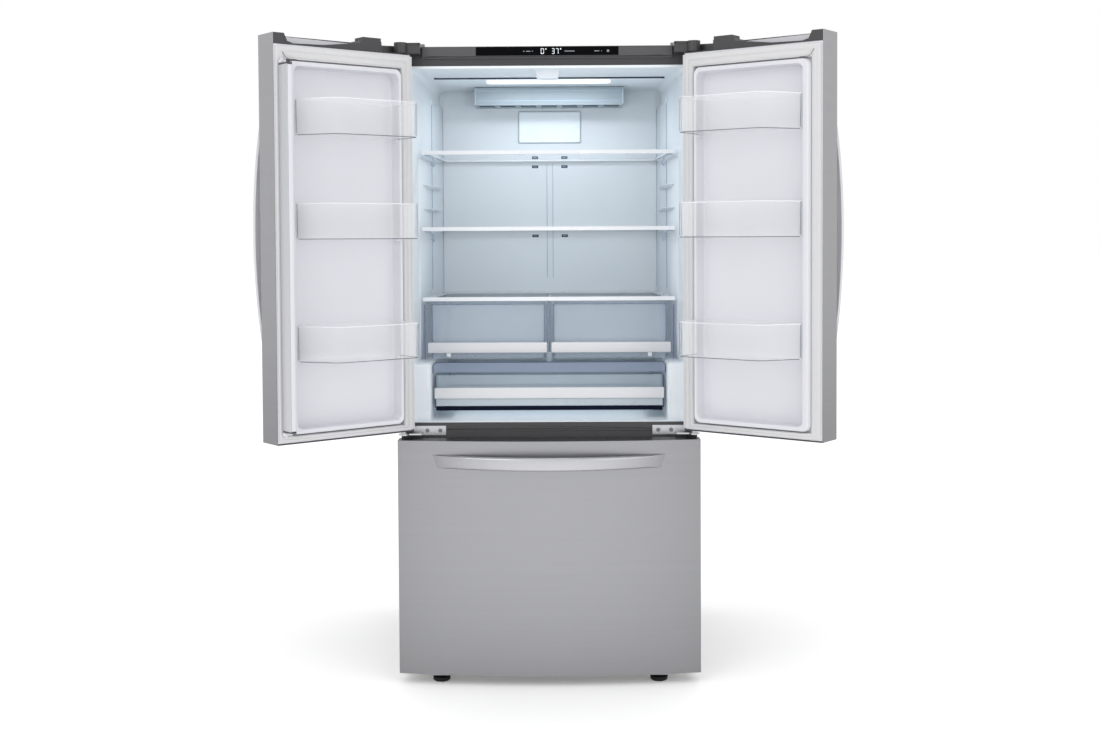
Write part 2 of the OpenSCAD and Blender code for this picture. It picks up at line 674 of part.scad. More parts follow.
// Bowed bar across the drawer front
module freezer_handle() color([0.80, 0.80, 0.82]) {
    half_l = 322;
    stand = 52;
    front = bow_centre - sqrt(bow_r * bow_r - half_l * half_l);
    reach = stand + door_side_front + bow + front;
    r_out = (half_l * half_l + reach * reach) / (2 * reach);
    translate([0, 0, 600]) linear_extrude(36) intersection() {
        difference() {
            translate([0, front - reach + r_out]) circle(r_out, $fn = 720);
            translate([0, front - reach + r_out]) circle(r_out - 14, $fn = 720);
            translate([0, bow_centre]) circle(bow_r + 0.1, $fn = 720);
        }
        translate([-half_l, -300]) square([2 * half_l, 300]);
    }
}

// Open tub with straight walls
module tub(low, high, wall) difference() {
    block(low, high);
    block(low + [wall, wall, wall], [high[0] - wall, high[1] - wall, high[2] + 1]);
}

module freezer_basket() color([0.85, 0.88, 0.90]) {
    tub([-318, 20, 100], [318, 440, 300], 4);
    // Rim that rests on the slides
    difference() {
        block([-330, 20, 292], [330, 440, 300]);
        block([-315, 26, 290], [315, 434, 301]);
    }
}

module freezer_slides() color([0.72, 0.73, 0.75]) both_sides() {
    block([-344, 13, 309], [-333.5, 440, 331]);
    block([-333.6, 12.2, 309], [-330.4, 60, 331]);
}

module freezer_tray() color([0.88, 0.92, 0.94]) tub([-325, 18, 440], [325, 400, 560], 3.5);

// ---------- crispers and pantry ----------
// Height of the underside of the crispers, clear of the low side walls
crisper_floor = 877.6;
module crisper() color([0.62, 0.68, 0.76, 0.5]) {
    // Tub with tapering sides
    difference() {
        prism([[-343, 144], [-8, 144], [-14, 570], [-327, 570]], crisper_floor, 1038);
        prism([[-340, 147], [-11, 147], [-17, 567], [-324, 567]], crisper_floor + 3, 1040);
    }
    // Front bar that serves as a handle
    block([-350, 128, 897], [-6, 143.8, 927]);
}

module humidity_slider() color([0.97, 0.97, 0.98])
    block([-296, 127, 885], [-284, 141, 896.6]);

module pantry_bin() color([0.70, 0.76, 0.82, 0.5]) {
    difference() {
        tub([-326, 80, 738], [326, 560, 838], 3);
        block([-300, 75, 810], [300, 84, 840]);
    }
    block([-326, 68, 772], [326, 79.8, 803]);
}

at_cabinet() cabinet_shell();
at_cabinet() rear_panel();
at_cabinet() base_frame();
at_cabinet() cabinet_foam();
at_cabinet() fridge_liner();
at_cabinet() freezer_liner();
at_cabinet() divider_cover();
at_cabinet() control_housing();
at_cabinet() display_window();
at_cabinet() door_hinges();
at_cabinet() hinge_covers();
at_cabinet() hinge_bolts();
at_cabinet() air_duct();
at_cabinet() ceiling_lamp();
at_cabinet() shelf_glass();
at_cabinet() shelf_frames();
at_cabinet() crisper_frame();
at_cabinet() liner_fittings();
at_cabinet() drawer_rails();
at_cabinet() front_feet();
at_cabinet() compressor();
at_cabinet() condenser();
at_cabinet() machine_cover();
at_cabinet() evaporator();
at_cabinet() rear_rollers();
at_cabinet() condenser_fan();
at_cabinet() evaporator_fan();
at_left_door() door_skin();  // left_door_skin
at_left_door() door_liner(left_bin_floors, true);  // left_door_liner
at_left_door() door_foam();  // left_door_foam
at_left_door() door_gasket();  // left_door_gasket
at_left_door() door_caps();  // left_door_caps
at_left_door() door_handle();  // left_handle
at_right_door() door_skin();  // right_door_skin
at_right_door() door_liner(right_bin_floors, false);  // right_door_liner
at_right_door() door_foam();  // right_door_foam
at_right_door() door_gasket();  // right_door_gasket
at_right_door() door_caps();  // right_door_caps
at_right_door() door_handle();  // right_handle
at_left_door() flipper();
at_left_door() door_bin(left_bin_floors[0]);  // left_bin_1
at_left_door() door_bin(left_bin_floors[1]);  // left_bin_2
at_left_door() door_bin(left_bin_floors[2]);  // left_bin_3
at_right_door() door_bin(right_bin_floors[0]);  // right_bin_1
at_right_door() door_bin(right_bin_floors[1]);  // right_bin_2
at_right_door() door_bin(right_bin_floors[2]);  // right_bin_3
at_cabinet() freezer_skin();
at_cabinet() freezer_foam();
at_cabinet() freezer_panel();
at_cabinet() freezer_gasket();
at_cabinet() freezer_caps();
at_cabinet() freezer_handle();
at_cabinet() freezer_basket();
at_cabinet() freezer_slides();
at_cabinet() freezer_tray();
at_cabinet() crisper();  // left_crisper
at_cabinet() mirror([1, 0, 0]) crisper();  // right_crisper
at_cabinet() humidity_slider();  // left_humidity_slider
at_cabinet() mirror([1, 0, 0]) humidity_slider();  // right_humidity_slider
at_cabinet() pantry_bin();
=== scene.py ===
import json
import math

import bmesh
import bpy
from mathutils import Matrix, Vector


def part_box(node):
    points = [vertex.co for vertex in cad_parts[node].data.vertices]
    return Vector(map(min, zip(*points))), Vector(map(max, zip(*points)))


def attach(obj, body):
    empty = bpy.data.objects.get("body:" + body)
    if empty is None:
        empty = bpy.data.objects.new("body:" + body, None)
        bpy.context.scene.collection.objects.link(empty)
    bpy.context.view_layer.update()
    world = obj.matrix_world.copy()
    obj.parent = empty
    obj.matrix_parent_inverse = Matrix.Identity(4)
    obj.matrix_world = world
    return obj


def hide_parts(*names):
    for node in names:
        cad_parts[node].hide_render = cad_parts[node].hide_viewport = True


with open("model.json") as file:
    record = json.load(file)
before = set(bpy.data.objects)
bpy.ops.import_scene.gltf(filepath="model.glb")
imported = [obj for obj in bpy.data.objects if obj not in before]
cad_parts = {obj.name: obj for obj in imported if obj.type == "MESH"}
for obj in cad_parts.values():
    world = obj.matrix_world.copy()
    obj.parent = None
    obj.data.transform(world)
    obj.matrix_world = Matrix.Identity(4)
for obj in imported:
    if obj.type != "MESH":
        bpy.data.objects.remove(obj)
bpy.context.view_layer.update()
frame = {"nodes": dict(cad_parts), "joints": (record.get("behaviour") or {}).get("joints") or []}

JOINTS = {j["name"]: j for j in frame["joints"]}
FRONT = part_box("cabinet_shell")[0].y
MM = Matrix.Scale(0.001, 4)
CABINET = Matrix.Translation((0, FRONT, 0)) @ MM


# ---------- places ----------
def door_place(side):
    """Matrix from the closed left door's millimetres to that side's open door."""
    joint = JOINTS[side + "_door_hinge"]
    pin = Vector(joint["pos_m"])
    opened = math.radians(-joint["range_deg"][0])
    turn = Matrix.Rotation(-opened if side == "left" else opened, 4, "Z")
    place = Matrix.Translation(pin) @ turn @ Matrix.Translation(-pin) @ CABINET
    return place if side == "left" else place @ Matrix.Scale(-1, 4, (1, 0, 0))


DOOR = {side: door_place(side) for side in ("left", "right")}

# Bowed front of the doors and the drawer, in millimetres: half width, depth at the outer edges, bow
HALF = 416
SIDE_FRONT = 68
BOW = 33
BOW_R = (HALF * HALF + BOW * BOW) / (2 * BOW)
BOW_CENTRE = BOW_R - SIDE_FRONT - BOW

# Fridge compartment: half width at its mouth, how much less at the back, and its depth
MOUTH = 378
DRAFT = 28
DEPTH = 640


def front_at(x):
    """Depth of the bowed front at x."""
    return BOW_CENTRE - math.sqrt(BOW_R * BOW_R - x * x)


def wall_at(y):
    """Half width of the fridge compartment at depth y; the side walls lean in towards the back."""
    return MOUTH - DRAFT * y / DEPTH


# ---------- materials ----------
def srgb(r, g, b):
    """Linear colour of an sRGB colour given as 0 to 255."""
    def lin(c):
        c /= 255
        return c / 12.92 if c <= 0.04045 else ((c + 0.055) / 1.055) ** 2.4
    return (lin(r), lin(g), lin(b), 1.0)


def shade(colour, k):
    """The colour made k times as bright."""
    return tuple(min(1.0, c * k) for c in colour[:3]) + (1.0,)


# Between these values lie most of a noise texture's
NOISE = (0.3, 0.7)


class Mat:
    """A Principled material with helpers for procedural detail in object coordinates."""

    def __init__(self, name, colour, rough, metal=0.0, alpha=1.0, coat=0.0, spec=0.5):
        self.mat = bpy.data.materials.new(name)
        self.mat.use_nodes = True
        self.tree = self.mat.node_tree
        self.bsdf = self.tree.nodes["Principled BSDF"]
        self.bsdf.inputs["Base Color"].default_value = colour
        self.bsdf.inputs["Roughness"].default_value = rough
        self.bsdf.inputs["Metallic"].default_value = metal
        self.bsdf.inputs["Alpha"].default_value = alpha
        self.bsdf.inputs["Coat Weight"].default_value = coat
        self.bsdf.inputs["Specular IOR Level"].default_value = spec
        self.colour = colour
        self.rough = rough
        self.coords = self.node("ShaderNodeTexCoord").outputs["Object"]

    def node(self, kind):
        return self.tree.nodes.new(kind)

    def link(self, a, b):
        self.tree.links.new(a, b)

    def mapped(self, scale):
        m = self.node("ShaderNodeMapping")
        m.inputs["Scale"].default_value = scale
        self.link(self.coords, m.inputs["Vector"])
        return m.outputs["Vector"]

    def noise(self, scale, detail, stretch=(1, 1, 1), rough=0.5):
        n = self.node("ShaderNodeTexNoise")
        n.inputs["Scale"].default_value = scale
        n.inputs["Detail"].default_value = detail
        n.inputs["Roughness"].default_value = rough
        self.link(self.mapped(stretch), n.inputs["Vector"])
        return n.outputs["Fac"]

    def ramp(self, value, low, high, a=0.0, b=1.0):
        r = self.node("ShaderNodeMapRange")
        r.inputs["From Min"].default_value = low
        r.inputs["From Max"].default_value = high
        r.inputs["To Min"].default_value = a
        r.inputs["To Max"].default_value = b
        self.link(value, r.inputs["Value"])
        return r.outputs["Result"]

    def mix(self, fac, a, b):
        m = self.node("ShaderNodeMix")
        m.data_type = "RGBA"
        self.link(fac, m.inputs[0])
        for socket, value in ((m.inputs[6], a), (m.inputs[7], b)):
            if isinstance(value, tuple):
                socket.default_value = value
            else:
                self.link(value, socket)
        return m.outputs[2]

    def glow(self, colour, strength):
        self.bsdf.inputs["Emission Color"].default_value = colour
        self.bsdf.inputs["Emission Strength"].default_value = strength

    def axis(self, name):
        s = self.node("ShaderNodeSeparateXYZ")
        self.link(self.coords, s.inputs[0])
        return s.outputs[name]

    def paint(self, colour):
        self.link(colour, self.bsdf.inputs["Base Color"])
        self.last = colour

    def tint(self, spread, scale):
        """Soft uneven colour."""
        fac = self.ramp(self.noise(scale, 3), *NOISE)
        self.paint(self.mix(fac, shade(self.colour, 1 - spread), shade(self.colour, 1 + spread)))

    def wear(self, spread, scale):
        """Uneven gloss, as on handled surfaces."""
        fac = self.noise(scale, 3)
        low, high = max(0.02, self.rough - spread), min(1.0, self.rough + spread)
        self.link(self.ramp(fac, *NOISE, low, high), self.bsdf.inputs["Roughness"])

    def bump(self, value, strength, distance):
        b = self.node("ShaderNodeBump")
        b.inputs["Strength"].default_value = strength
        b.inputs["Distance"].default_value = distance
        self.link(value, b.inputs["Height"])
        self.link(b.outputs["Normal"], self.bsdf.inputs["Normal"])


def moulded(name, colour, rough, grain, strength, spread=0.025, coat=0.0):
    """Moulded plastic or smooth paint with a fine grain."""
    m = Mat(name, colour, rough, coat=coat)
    m.tint(spread * 0.4, 3.0)
    m.wear(0.015, 9.0)
    m.bump(m.noise(grain, 1), strength, 0.0003)
    return m


def brushed(name, colour, rough, along=(3, 3, 700), spread=0.05, metal=1.0):
    """Brushed metal: fine streaks along the axes with low stretch."""
    m = Mat(name, colour, rough, metal)
    fine = m.noise(1.0, 4, along, 0.7)
    broad = m.noise(1.0, 2, tuple(a * 0.06 for a in along))
    streak = m.mix(m.ramp(fine, *NOISE), shade(colour, 1 - spread), shade(colour, 1 + spread))
    cloud = m.mix(m.ramp(broad, *NOISE), shade(colour, 0.97), shade(colour, 1.03))
    both = m.node("ShaderNodeMix")
    both.data_type = "RGBA"
    both.inputs[0].default_value = 0.4
    m.link(streak, both.inputs[6])
    m.link(cloud, both.inputs[7])
    m.paint(both.outputs[2])
    m.link(m.ramp(fine, *NOISE, rough - 0.05, rough + 0.07), m.bsdf.inputs["Roughness"])
    m.bump(fine, 0.10, 0.0003)
    return m


def clear(name, colour, alpha, rough=0.08):
    """Clear or tinted plastic and glass; alpha is how much of the colour stays."""
    m = Mat(name, colour, rough, alpha=alpha, spec=0.6)
    m.tint(0.03, 6.0)
    m.wear(0.04, 40.0)
    m.bump(m.noise(9, 1), 0.04, 0.002)
    return m


def paint_light_and_shade(m, axis, stops):
    """Paints light and shade into the colour along an object axis; stops are (metres, factor), straight
    between them.
    """
    ramp = m.node("ShaderNodeFloatCurve")
    low, high = stops[0][0], stops[-1][0]
    curve = ramp.mapping.curves[0]
    for i, (at, factor) in enumerate(stops):
        spot = (at - low) / (high - low)
        if i in (0, len(stops) - 1):
            curve.points[0 if i == 0 else -1].location = (spot, factor / 2)
        else:
            curve.points.new(spot, factor / 2)
    ramp.mapping.update()
    m.link(m.ramp(m.axis(axis), low, high), ramp.inputs["Value"])
    twice = m.node("ShaderNodeMath")
    twice.operation = "MULTIPLY"
    twice.inputs[1].default_value = 2
    m.link(ramp.outputs["Value"], twice.inputs[0])
    scale = m.node("ShaderNodeVectorMath")
    scale.operation = "SCALE"
    m.link(m.last, scale.inputs[0])
    m.link(twice.outputs[0], scale.inputs["Scale"])
    m.paint(scale.outputs[0])


def glowing(name, colour, strength):
    """Lit lens or segment."""
    m = Mat(name, colour, 0.3)
    m.tint(0.02, 12.0)
    m.glow(colour, strength)
    m.bump(m.noise(300, 2), 0.05, 0.0005)
    return m


def galvanised():
    """Zinc sheet with its flower-like spangle."""
    m = Mat("galvanised", srgb(168, 170, 173), 0.45, 0.85)
    v = m.node("ShaderNodeTexVoronoi")
    v.inputs["Scale"].default_value = 85
    m.link(m.coords, v.inputs["Vector"])
    spangle = m.node("ShaderNodeSeparateColor")
    m.link(v.outputs["Color"], spangle.inputs[0])
    flower = spangle.outputs["Red"]
    m.paint(m.mix(flower, srgb(163, 165, 168), srgb(178, 180, 182)))
    m.link(m.ramp(flower, 0, 1, 0.42, 0.52), m.bsdf.inputs["Roughness"])
    m.bump(m.noise(25, 3), 0.1, 0.001)
    return m


def foam():
    """Insulation with its small cells."""
    m = Mat("foam", srgb(238, 226, 184), 0.9)
    m.tint(0.08, 40.0)
    v = m.node("ShaderNodeTexVoronoi")
    v.inputs["Scale"].default_value = 420
    m.link(m.coords, v.inputs["Vector"])
    m.bump(v.outputs["Distance"], 0.5, 0.001)
    return m


mats = {}


def add(make, *rows):
    """Makes the materials of the rows; a row is the short name used below, the material's name, its sRGB
    colour and what else the maker takes."""
    for key, name, colour, *more in rows:
        mats[key] = make(name, srgb(*colour), *more)


# Roughness, grain per metre, strength of the grain, unevenness of the colour, clear coat
add(moulded,
    ("cabinet_paint", "cabinet_paint", (55, 55, 58), 0.45, 1400, 0.35, 0.04),
    ("liner_white", "liner_white", (232, 238, 243), 0.32, 700, 0.03),
    ("door_white", "door_white", (213, 213, 219), 0.34, 700, 0.03),
    ("gasket", "gasket_grey", (204, 204, 205), 0.6, 500, 0.08),
    ("mitre", "gasket_mitre", (92, 92, 94), 0.7, 500, 0.08),
    # Dark boxes in the vents, painted shade
    ("vent", "vent_shade", (44, 56, 76), 0.7, 500, 0.08),
    ("dark_trim", "dark_trim", (58, 58, 60), 0.42, 1000, 0.18),
    ("divider", "divider_grey", (68, 67, 69), 0.42, 1000, 0.15),
    ("darker_trim", "darker_trim", (46, 46, 48), 0.35, 1000, 0.12),
    ("housing", "housing_grey", (74, 74, 76), 0.45, 1000, 0.15),
    ("white_trim", "white_trim", (236, 238, 242), 0.28, 700, 0.03),
    ("drawer_bar", "drawer_bar", (220, 221, 224), 0.3, 700, 0.03),
    ("rubber", "rubber_black", (6, 6, 6), 0.8, 600, 0.35),
    ("black_paint", "black_paint", (28, 28, 30), 0.3, 500, 0.05, 0.025, 0.3),
    ("fan_plastic", "fan_plastic", (46, 46, 48), 0.45, 900, 0.15),
    ("basket", "basket_plastic", (226, 229, 233), 0.35, 700, 0.05),
    ("display", "display_black", (4, 4, 6), 0.35, 400, 0.01),
    ("navy", "navy_edge", (4, 10, 34), 0.55, 500, 0.05),
    ("duct_tint", "duct_tint", (156, 167, 175), 0.4, 700, 0.03),
    ("outlet_edge", "outlet_edge", (176, 193, 206), 0.35, 700, 0.03),
    # Darker white for the rear parts of the side walls, painted shade
    ("liner_rear", "liner_rear", (208, 214, 219), 0.32, 700, 0.03),
    ("liner_soft", "liner_soft", (230, 236, 242), 0.3, 700, 0.03),
    # Lighter white for the duct's blank plate, painted light against the shade of the outlet housing above it
    ("plate", "duct_plate", (236, 244, 250), 0.28, 700, 0.03),
    ("plate_edge", "duct_plate_edge", (236, 242, 248), 0.25, 700, 0.03),
    # Lines painted as shade in the duct panel's grooves and the walls' corners
    ("groove_line", "groove_line", (150, 166, 182), 0.5, 700, 0.05),
    ("hook", "shelf_hook", (168, 184, 202), 0.3, 700, 0.05),
    ("seal", "ceiling_seal", (30, 36, 56), 0.6, 700, 0.08))
# Roughness, stretch of the streaks along x, y and z, unevenness of the colour, metal
add(brushed,
    ("bolt", "bolt_steel", (120, 121, 124), 0.3, (60, 300, 300)),
    ("stainless", "stainless", (160, 160, 163), 0.33),
    ("door_steel", "door_steel", (162, 162, 165), 0.33),
    ("handle", "handle_steel", (212, 212, 216), 0.34, (420, 420, 4), 0.04, 0.45),
    ("handle_x", "handle_steel_across", (196, 196, 200), 0.30, (2, 120, 600), 0.02),
    ("hinge_steel", "hinge_steel", (196, 197, 200), 0.28, (60, 300, 300)),
    ("rail_steel", "rail_steel", (190, 191, 194), 0.35, (300, 4, 300)),
    ("flipper", "flipper_grey", (190, 191, 195), 0.4, (300, 300, 4), 0.03, 0.6),
    ("aluminium", "aluminium_fins", (200, 202, 204), 0.4, (4, 90, 90)))
# Share of the colour that stays, roughness
add(clear,
    ("pane", "shelf_pane", (214, 234, 238), 0.08),
    ("bin", "bin_clear", (246, 248, 251), 0.12),
    # Rim of the door bins, its brightness a painted highlight
    ("bin_rim", "bin_rim", (244, 246, 250), 0.75),
    # Edge and corner lines of the door bins, painted shade
    ("bin_edge", "bin_edge", (112, 118, 128), 0.75),
    ("smoke", "crisper_smoke", (186, 197, 209), 0.36),
    ("frame_smoke", "frame_smoke", (196, 206, 218), 0.2),
    ("smoke_edge", "crisper_smoke_edge", (84, 100, 140), 0.7),
    ("dark_edge", "dark_edge", (50, 62, 92), 0.85),
    ("lip", "pantry_lip", (144, 158, 182), 0.6),
    ("pantry", "pantry_clear", (186, 202, 214), 0.40),
    ("frosted", "pantry_frosted", (206, 216, 224), 0.7, 0.3))
# Strength of the light
add(glowing,
    ("lamp", "lamp_lens", (246, 250, 254), 0.8),
    ("digits", "display_digits", (236, 242, 248), 0.6),
    ("icons", "display_icons", (120, 124, 128), 0.25))
mats["galvanised"] = galvanised()
mats["foam"] = foam()
# Painted light: the crisper plastics and their edge lines glow in their own colour, lightening the shade
# inside the drawers
for key, strength in (("smoke", 0.12), ("frame_smoke", 0.2), ("smoke_edge", 0.10)):
    mats[key].glow(mats[key].colour, strength)
for key, shine in (("display", 0.05), ("navy", 0.1)):
    mats[key].bsdf.inputs["Specular IOR Level"].default_value = shine
# Painted light and shade on the stainless drawer front: darker towards the floor, lighter in the middle and
# darker towards both sides
paint_light_and_shade(mats["stainless"], "Z", [(0, 0.80), (0.2, 0.94), (0.5, 1.0), (0.7, 0.98)])
paint_light_and_shade(mats["stainless"], "X",
       [(-0.42, 0.86), (-0.36, 0.92), (-0.12, 1.02), (0.12, 1.02), (0.36, 0.90), (0.42, 0.84)])
# Painted shade on the door skins: darker towards the bottom
paint_light_and_shade(mats["door_steel"], "Z", [(0.69, 0.60), (0.9, 0.76), (1.25, 0.92), (1.76, 1.0)])
# Painted shade on the door handles: darker towards both ends
paint_light_and_shade(mats["handle"], "Z", [(0.9, 0.70), (1.02, 0.88), (1.24, 1.0), (1.46, 0.88), (1.58, 0.72)])
# Painted shade on the drawer handle: darker towards both ends
paint_light_and_shade(mats["handle_x"], "X", [(-0.33, 0.48), (-0.2, 0.78), (0, 0.96), (0.2, 0.78), (0.33, 0.48)])
# Painted shade on the white liners: darker deeper inside the compartments
paint_light_and_shade(mats["liner_white"], "Y", [(-0.1, 1.0), (0.02, 0.98), (0.15, 0.90), (0.4, 0.86)])


# ---------- shapes, as (vertices, faces) in millimetres ----------
def rounded(points, radii, n=5):
    """Outline with its corners rounded; radii is one number or one for each corner."""
    out = []
    count = len(points)
    for i, p in enumerate(points):
        r = radii if isinstance(radii, (int, float)) else radii[i]
        p = Vector(p)
        a = Vector(points[i - 1]) - p
        b = Vector(points[(i + 1) % count]) - p
        half = a.angle(b) / 2
        reach = min(r / math.tan(half), a.length * 0.49, b.length * 0.49)
        r = reach * math.tan(half)
        if r < 1e-4:
            out += [tuple(p)] * (n + 1)
            continue
        mid = p + (a.normalized() + b.normalized()).normalized() * (r / math.sin(half))
        start = p + a.normalized() * reach - mid
        end = p + b.normalized() * reach - mid
        sweep = start.angle(end)
        turn = 1 if start.x * end.y - start.y * end.x > 0 else -1
        for k in range(n + 1):
            t = turn * sweep * k / n
            c, s = math.cos(t), math.sin(t)
            out.append((mid.x + start.x * c - start.y * s, mid.y + start.x * s + start.y * c))
    return out


def rect(x0, x1, z0, z1, r, n=5):
    """Outline of a rectangle with corners of radius r."""
    return rounded([(x0, z0), (x1, z0), (x1, z1), (x0, z1)], r, n)


def xz(points, y):
    """Upright outline at depth y."""
    return [(p[0], y, p[1]) for p in points]


def xy(points, z):
    """Level outline at height z."""
    return [(p[0], p[1], z) for p in points]


def loft(rings, closed=False):
    """Skin over rings of equal count; unless closed, the first and last rings become its ends."""
    verts = [v for ring in rings for v in ring]
    n = len(rings[0])
    faces = []
    spans = len(rings) if closed else len(rings) - 1
    for i in range(spans):
        a, b = i * n, ((i + 1) % len(rings)) * n
        for k in range(n):
            m = (k + 1) % n
            faces.append((a + k, a + m, b + m, b + k))
    if not closed:
        faces.append(tuple(range(n))[::-1])
        last = (len(rings) - 1) * n
        faces.append(tuple(last + k for k in range(n)))
    return verts, faces


def quarter(n=4):
    """Pairs (1 - cos, 1 - sin) over a quarter turn, for rounded-over edges."""
    return [(1 - math.cos(math.pi / 2 * k / n), 1 - math.sin(math.pi / 2 * k / n)) for k in range(n + 1)]


def soft_box(lo, hi, r, n=3):
    """Box with every edge rounded by r."""
    r = min(r, *[(hi[i] - lo[i]) * 0.49 for i in range(3)])

    def ring(inset, z):
        plan = rect(lo[0] + inset, hi[0] - inset, lo[1] + inset, hi[1] - inset, max(r - inset, 0.02), n)
        return xy(plan, z)
    return loft([ring(r * b, lo[2] + r * a) for a, b in quarter(n)] +
                [ring(r * a, hi[2] - r * b) for a, b in quarter(n)])


def side_box(s, x, y, z, r):
    """Rounded box on the side of sign s; x, y and z are its limits."""
    x0, x1 = sorted((s * x[0], s * x[1]))
    return soft_box((x0, y[0], z[0]), (x1, y[1], z[1]), r)


def tube(path, r, n, closed=False):
    """Round bar of n sides along a path; the path's first two points differ."""
    path = [Vector(p) for p in path]
    rings = []
    turns = [2 * math.pi * k / n for k in range(n)]
    up = None
    for i, p in enumerate(path):
        before = path[i - 1] if i or closed else path[0]
        after = path[(i + 1) % len(path)] if i + 1 < len(path) or closed else path[-1]
        d = (after - before).normalized()
        if up is None:
            up = Vector((0, 0, 1)) if abs(d.z) < 0.8 else Vector((0, 1, 0))
        side = d.cross(up).normalized()
        up = side.cross(d).normalized()
        rings.append([tuple(p + side * (r * math.cos(a)) + up * (r * math.sin(a))) for a in turns])
    return loft(rings, closed=closed)


def lathe(profile, centre, axis="z", n=32):
    """Solid of revolution about z or y; profile is (radius, height) from bottom to top."""
    rings = []
    for radius, h in profile:
        ring = []
        for k in range(n):
            a = 2 * math.pi * k / n
            c, s = radius * math.cos(a), radius * math.sin(a)
            x, y, z = (c, s, h) if axis == "z" else (c, h, s)
            ring.append((centre[0] + x, centre[1] + y, centre[2] + z))
        rings.append(ring)
    return loft(rings)


def joined(*parts):
    """Several shapes as one."""
    verts, faces = [], []
    for v, f in parts:
        base = len(verts)
        verts += v
        faces += [tuple(i + base for i in face) for face in f]
    return verts, faces


def put(name, shape, mat, body, place, slot, stands_for=None, smooth=35, bevel=0.0):
    """Makes a piece of the shape, riding on a body; stands_for is the CAD node that it replaces, and
    smooth the angle in degrees up to which its edges are shaded round."""
    verts, faces = shape
    mesh = bpy.data.meshes.new(name)
    mesh.from_pydata([place @ Vector(v) for v in verts], [], faces)
    bm = bmesh.new()
    bm.from_mesh(mesh)
    bmesh.ops.remove_doubles(bm, verts=bm.verts, dist=2e-6)
    bmesh.ops.dissolve_degenerate(bm, edges=bm.edges, dist=1e-7)
    bmesh.ops.recalc_face_normals(bm, faces=bm.faces)
    bm.to_mesh(mesh)
    bm.free()
    mesh.shade_smooth()
    mesh.set_sharp_from_angle(angle=math.radians(smooth))
    mesh.materials.append(mats[mat].mat)
    ob = bpy.data.objects.new(name, mesh)
    bpy.context.scene.collection.objects.link(ob)
    if bevel:
        soften(ob, bevel)
    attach(ob, body)
    if stands_for:
        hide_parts(stands_for)


def fixed(name, shape, mat, slot, stands_for=None):
    """Piece of the cabinet."""
    put(name, shape, mat, "cabinet", CABINET, slot, stands_for)


def on_door(side, name, shape, mat, slot, stands_for=None, **more):
    """Piece of a door; the names get the side in front."""
    put(side + name, shape, mat, side + "_door", DOOR[side], slot, stands_for and side + stands_for, **more)


# Angle in degrees from which an edge counts as sharp
SHARP = 32


def soften(ob, width):
    """Rounds the edges by width in millimetres."""
    b = ob.modifiers.new("edges", "BEVEL")
    b.width = width / 1000
    b.segments = 2
    b.limit_method = "ANGLE"
    b.angle_limit = math.radians(SHARP)
    b.miter_outer = "MITER_ARC"
    w = ob.modifiers.new("normals", "WEIGHTED_NORMAL")
    w.weight = 80
    w.keep_sharp = False


def dress(node, mat, bevel):
    """Gives a CAD node its material and softer edges."""
    ob = frame["nodes"][node]
    mesh = ob.data
    mesh.materials.clear()
    mesh.materials.append(mats[mat].mat)
    for poly in mesh.polygons:
        poly.material_index = 0
    if "custom_normal" in mesh.attributes:
        mesh.attributes.remove(mesh.attributes["custom_normal"])
    mesh.shade_smooth()
    weld = ob.modifiers.new("weld", "WELD")
    weld.merge_threshold = 0.00002
    if bevel:
        soften(ob, bevel)
    else:
        split = ob.modifiers.new("sharp", "EDGE_SPLIT")
        split.split_angle = math.radians(SHARP)


def regions(node, *rules):
    """Gives faces of a CAD node other materials; a rule is (material, test of the face's middle in mm)."""
    ob = frame["nodes"][node]
    back = CABINET.inverted() @ ob.matrix_world
    slots = []
    for mat, _ in rules:
        ob.data.materials.append(mats[mat].mat)
        slots.append(len(ob.data.materials) - 1)
    for poly in ob.data.polygons:
        at = back @ poly.center
        for slot, (_, test) in zip(slots, rules):
            if test(at):
                poly.material_index = slot
                break


# ---------- CAD nodes that stay ----------
# Node: (material, width of its rounded edges in millimetres)
KEPT = {
    "cabinet_shell": ("cabinet_paint", 0.5), "rear_panel": ("galvanised", 0),
    "base_frame": ("galvanised", 0), "cabinet_foam": ("foam", 0), "fridge_liner": ("liner_white", 0),
    "freezer_liner": ("liner_white", 0), "divider_cover": ("divider", 0.8),
    "control_housing": ("housing", 1.2), "display_window": ("display", 0.4),
    "door_hinges": ("hinge_steel", 0.6), "hinge_covers": ("dark_trim", 2.0),
    "hinge_bolts": ("bolt", 0.4), "air_duct": ("liner_white", 0.8), "ceiling_lamp": ("lamp", 0),
    "shelf_glass": ("pane", 0), "shelf_frames": ("white_trim", 1.0),
    "crisper_frame": ("frame_smoke", 0), "liner_fittings": ("white_trim", 1.5),
    "drawer_rails": ("rail_steel", 0.5), "front_feet": ("rubber", 1.0),
    "compressor": ("black_paint", 1.0), "condenser": ("black_paint", 0),
    "machine_cover": ("galvanised", 0.4), "evaporator": ("aluminium", 0),
    "rear_rollers": ("fan_plastic", 1.0), "condenser_fan": ("fan_plastic", 0.4),
    "evaporator_fan": ("fan_plastic", 0.4), "flipper": ("flipper", 1.5),
    "freezer_skin": ("stainless", 0.4), "freezer_foam": ("foam", 0),
    "freezer_panel": ("door_white", 3.0), "freezer_gasket": ("gasket", 1.0),
    "freezer_caps": ("darker_trim", 0), "freezer_handle": ("handle_x", 0),
    "freezer_basket": ("basket", 1.0), "freezer_slides": ("rail_steel", 0.5),
    "freezer_tray": ("basket", 1.0), "left_crisper": ("smoke", 0), "right_crisper": ("smoke", 0),
    "left_humidity_slider": ("white_trim", 1.5), "right_humidity_slider": ("white_trim", 1.5),
    "pantry_bin": ("pantry", 0),
}
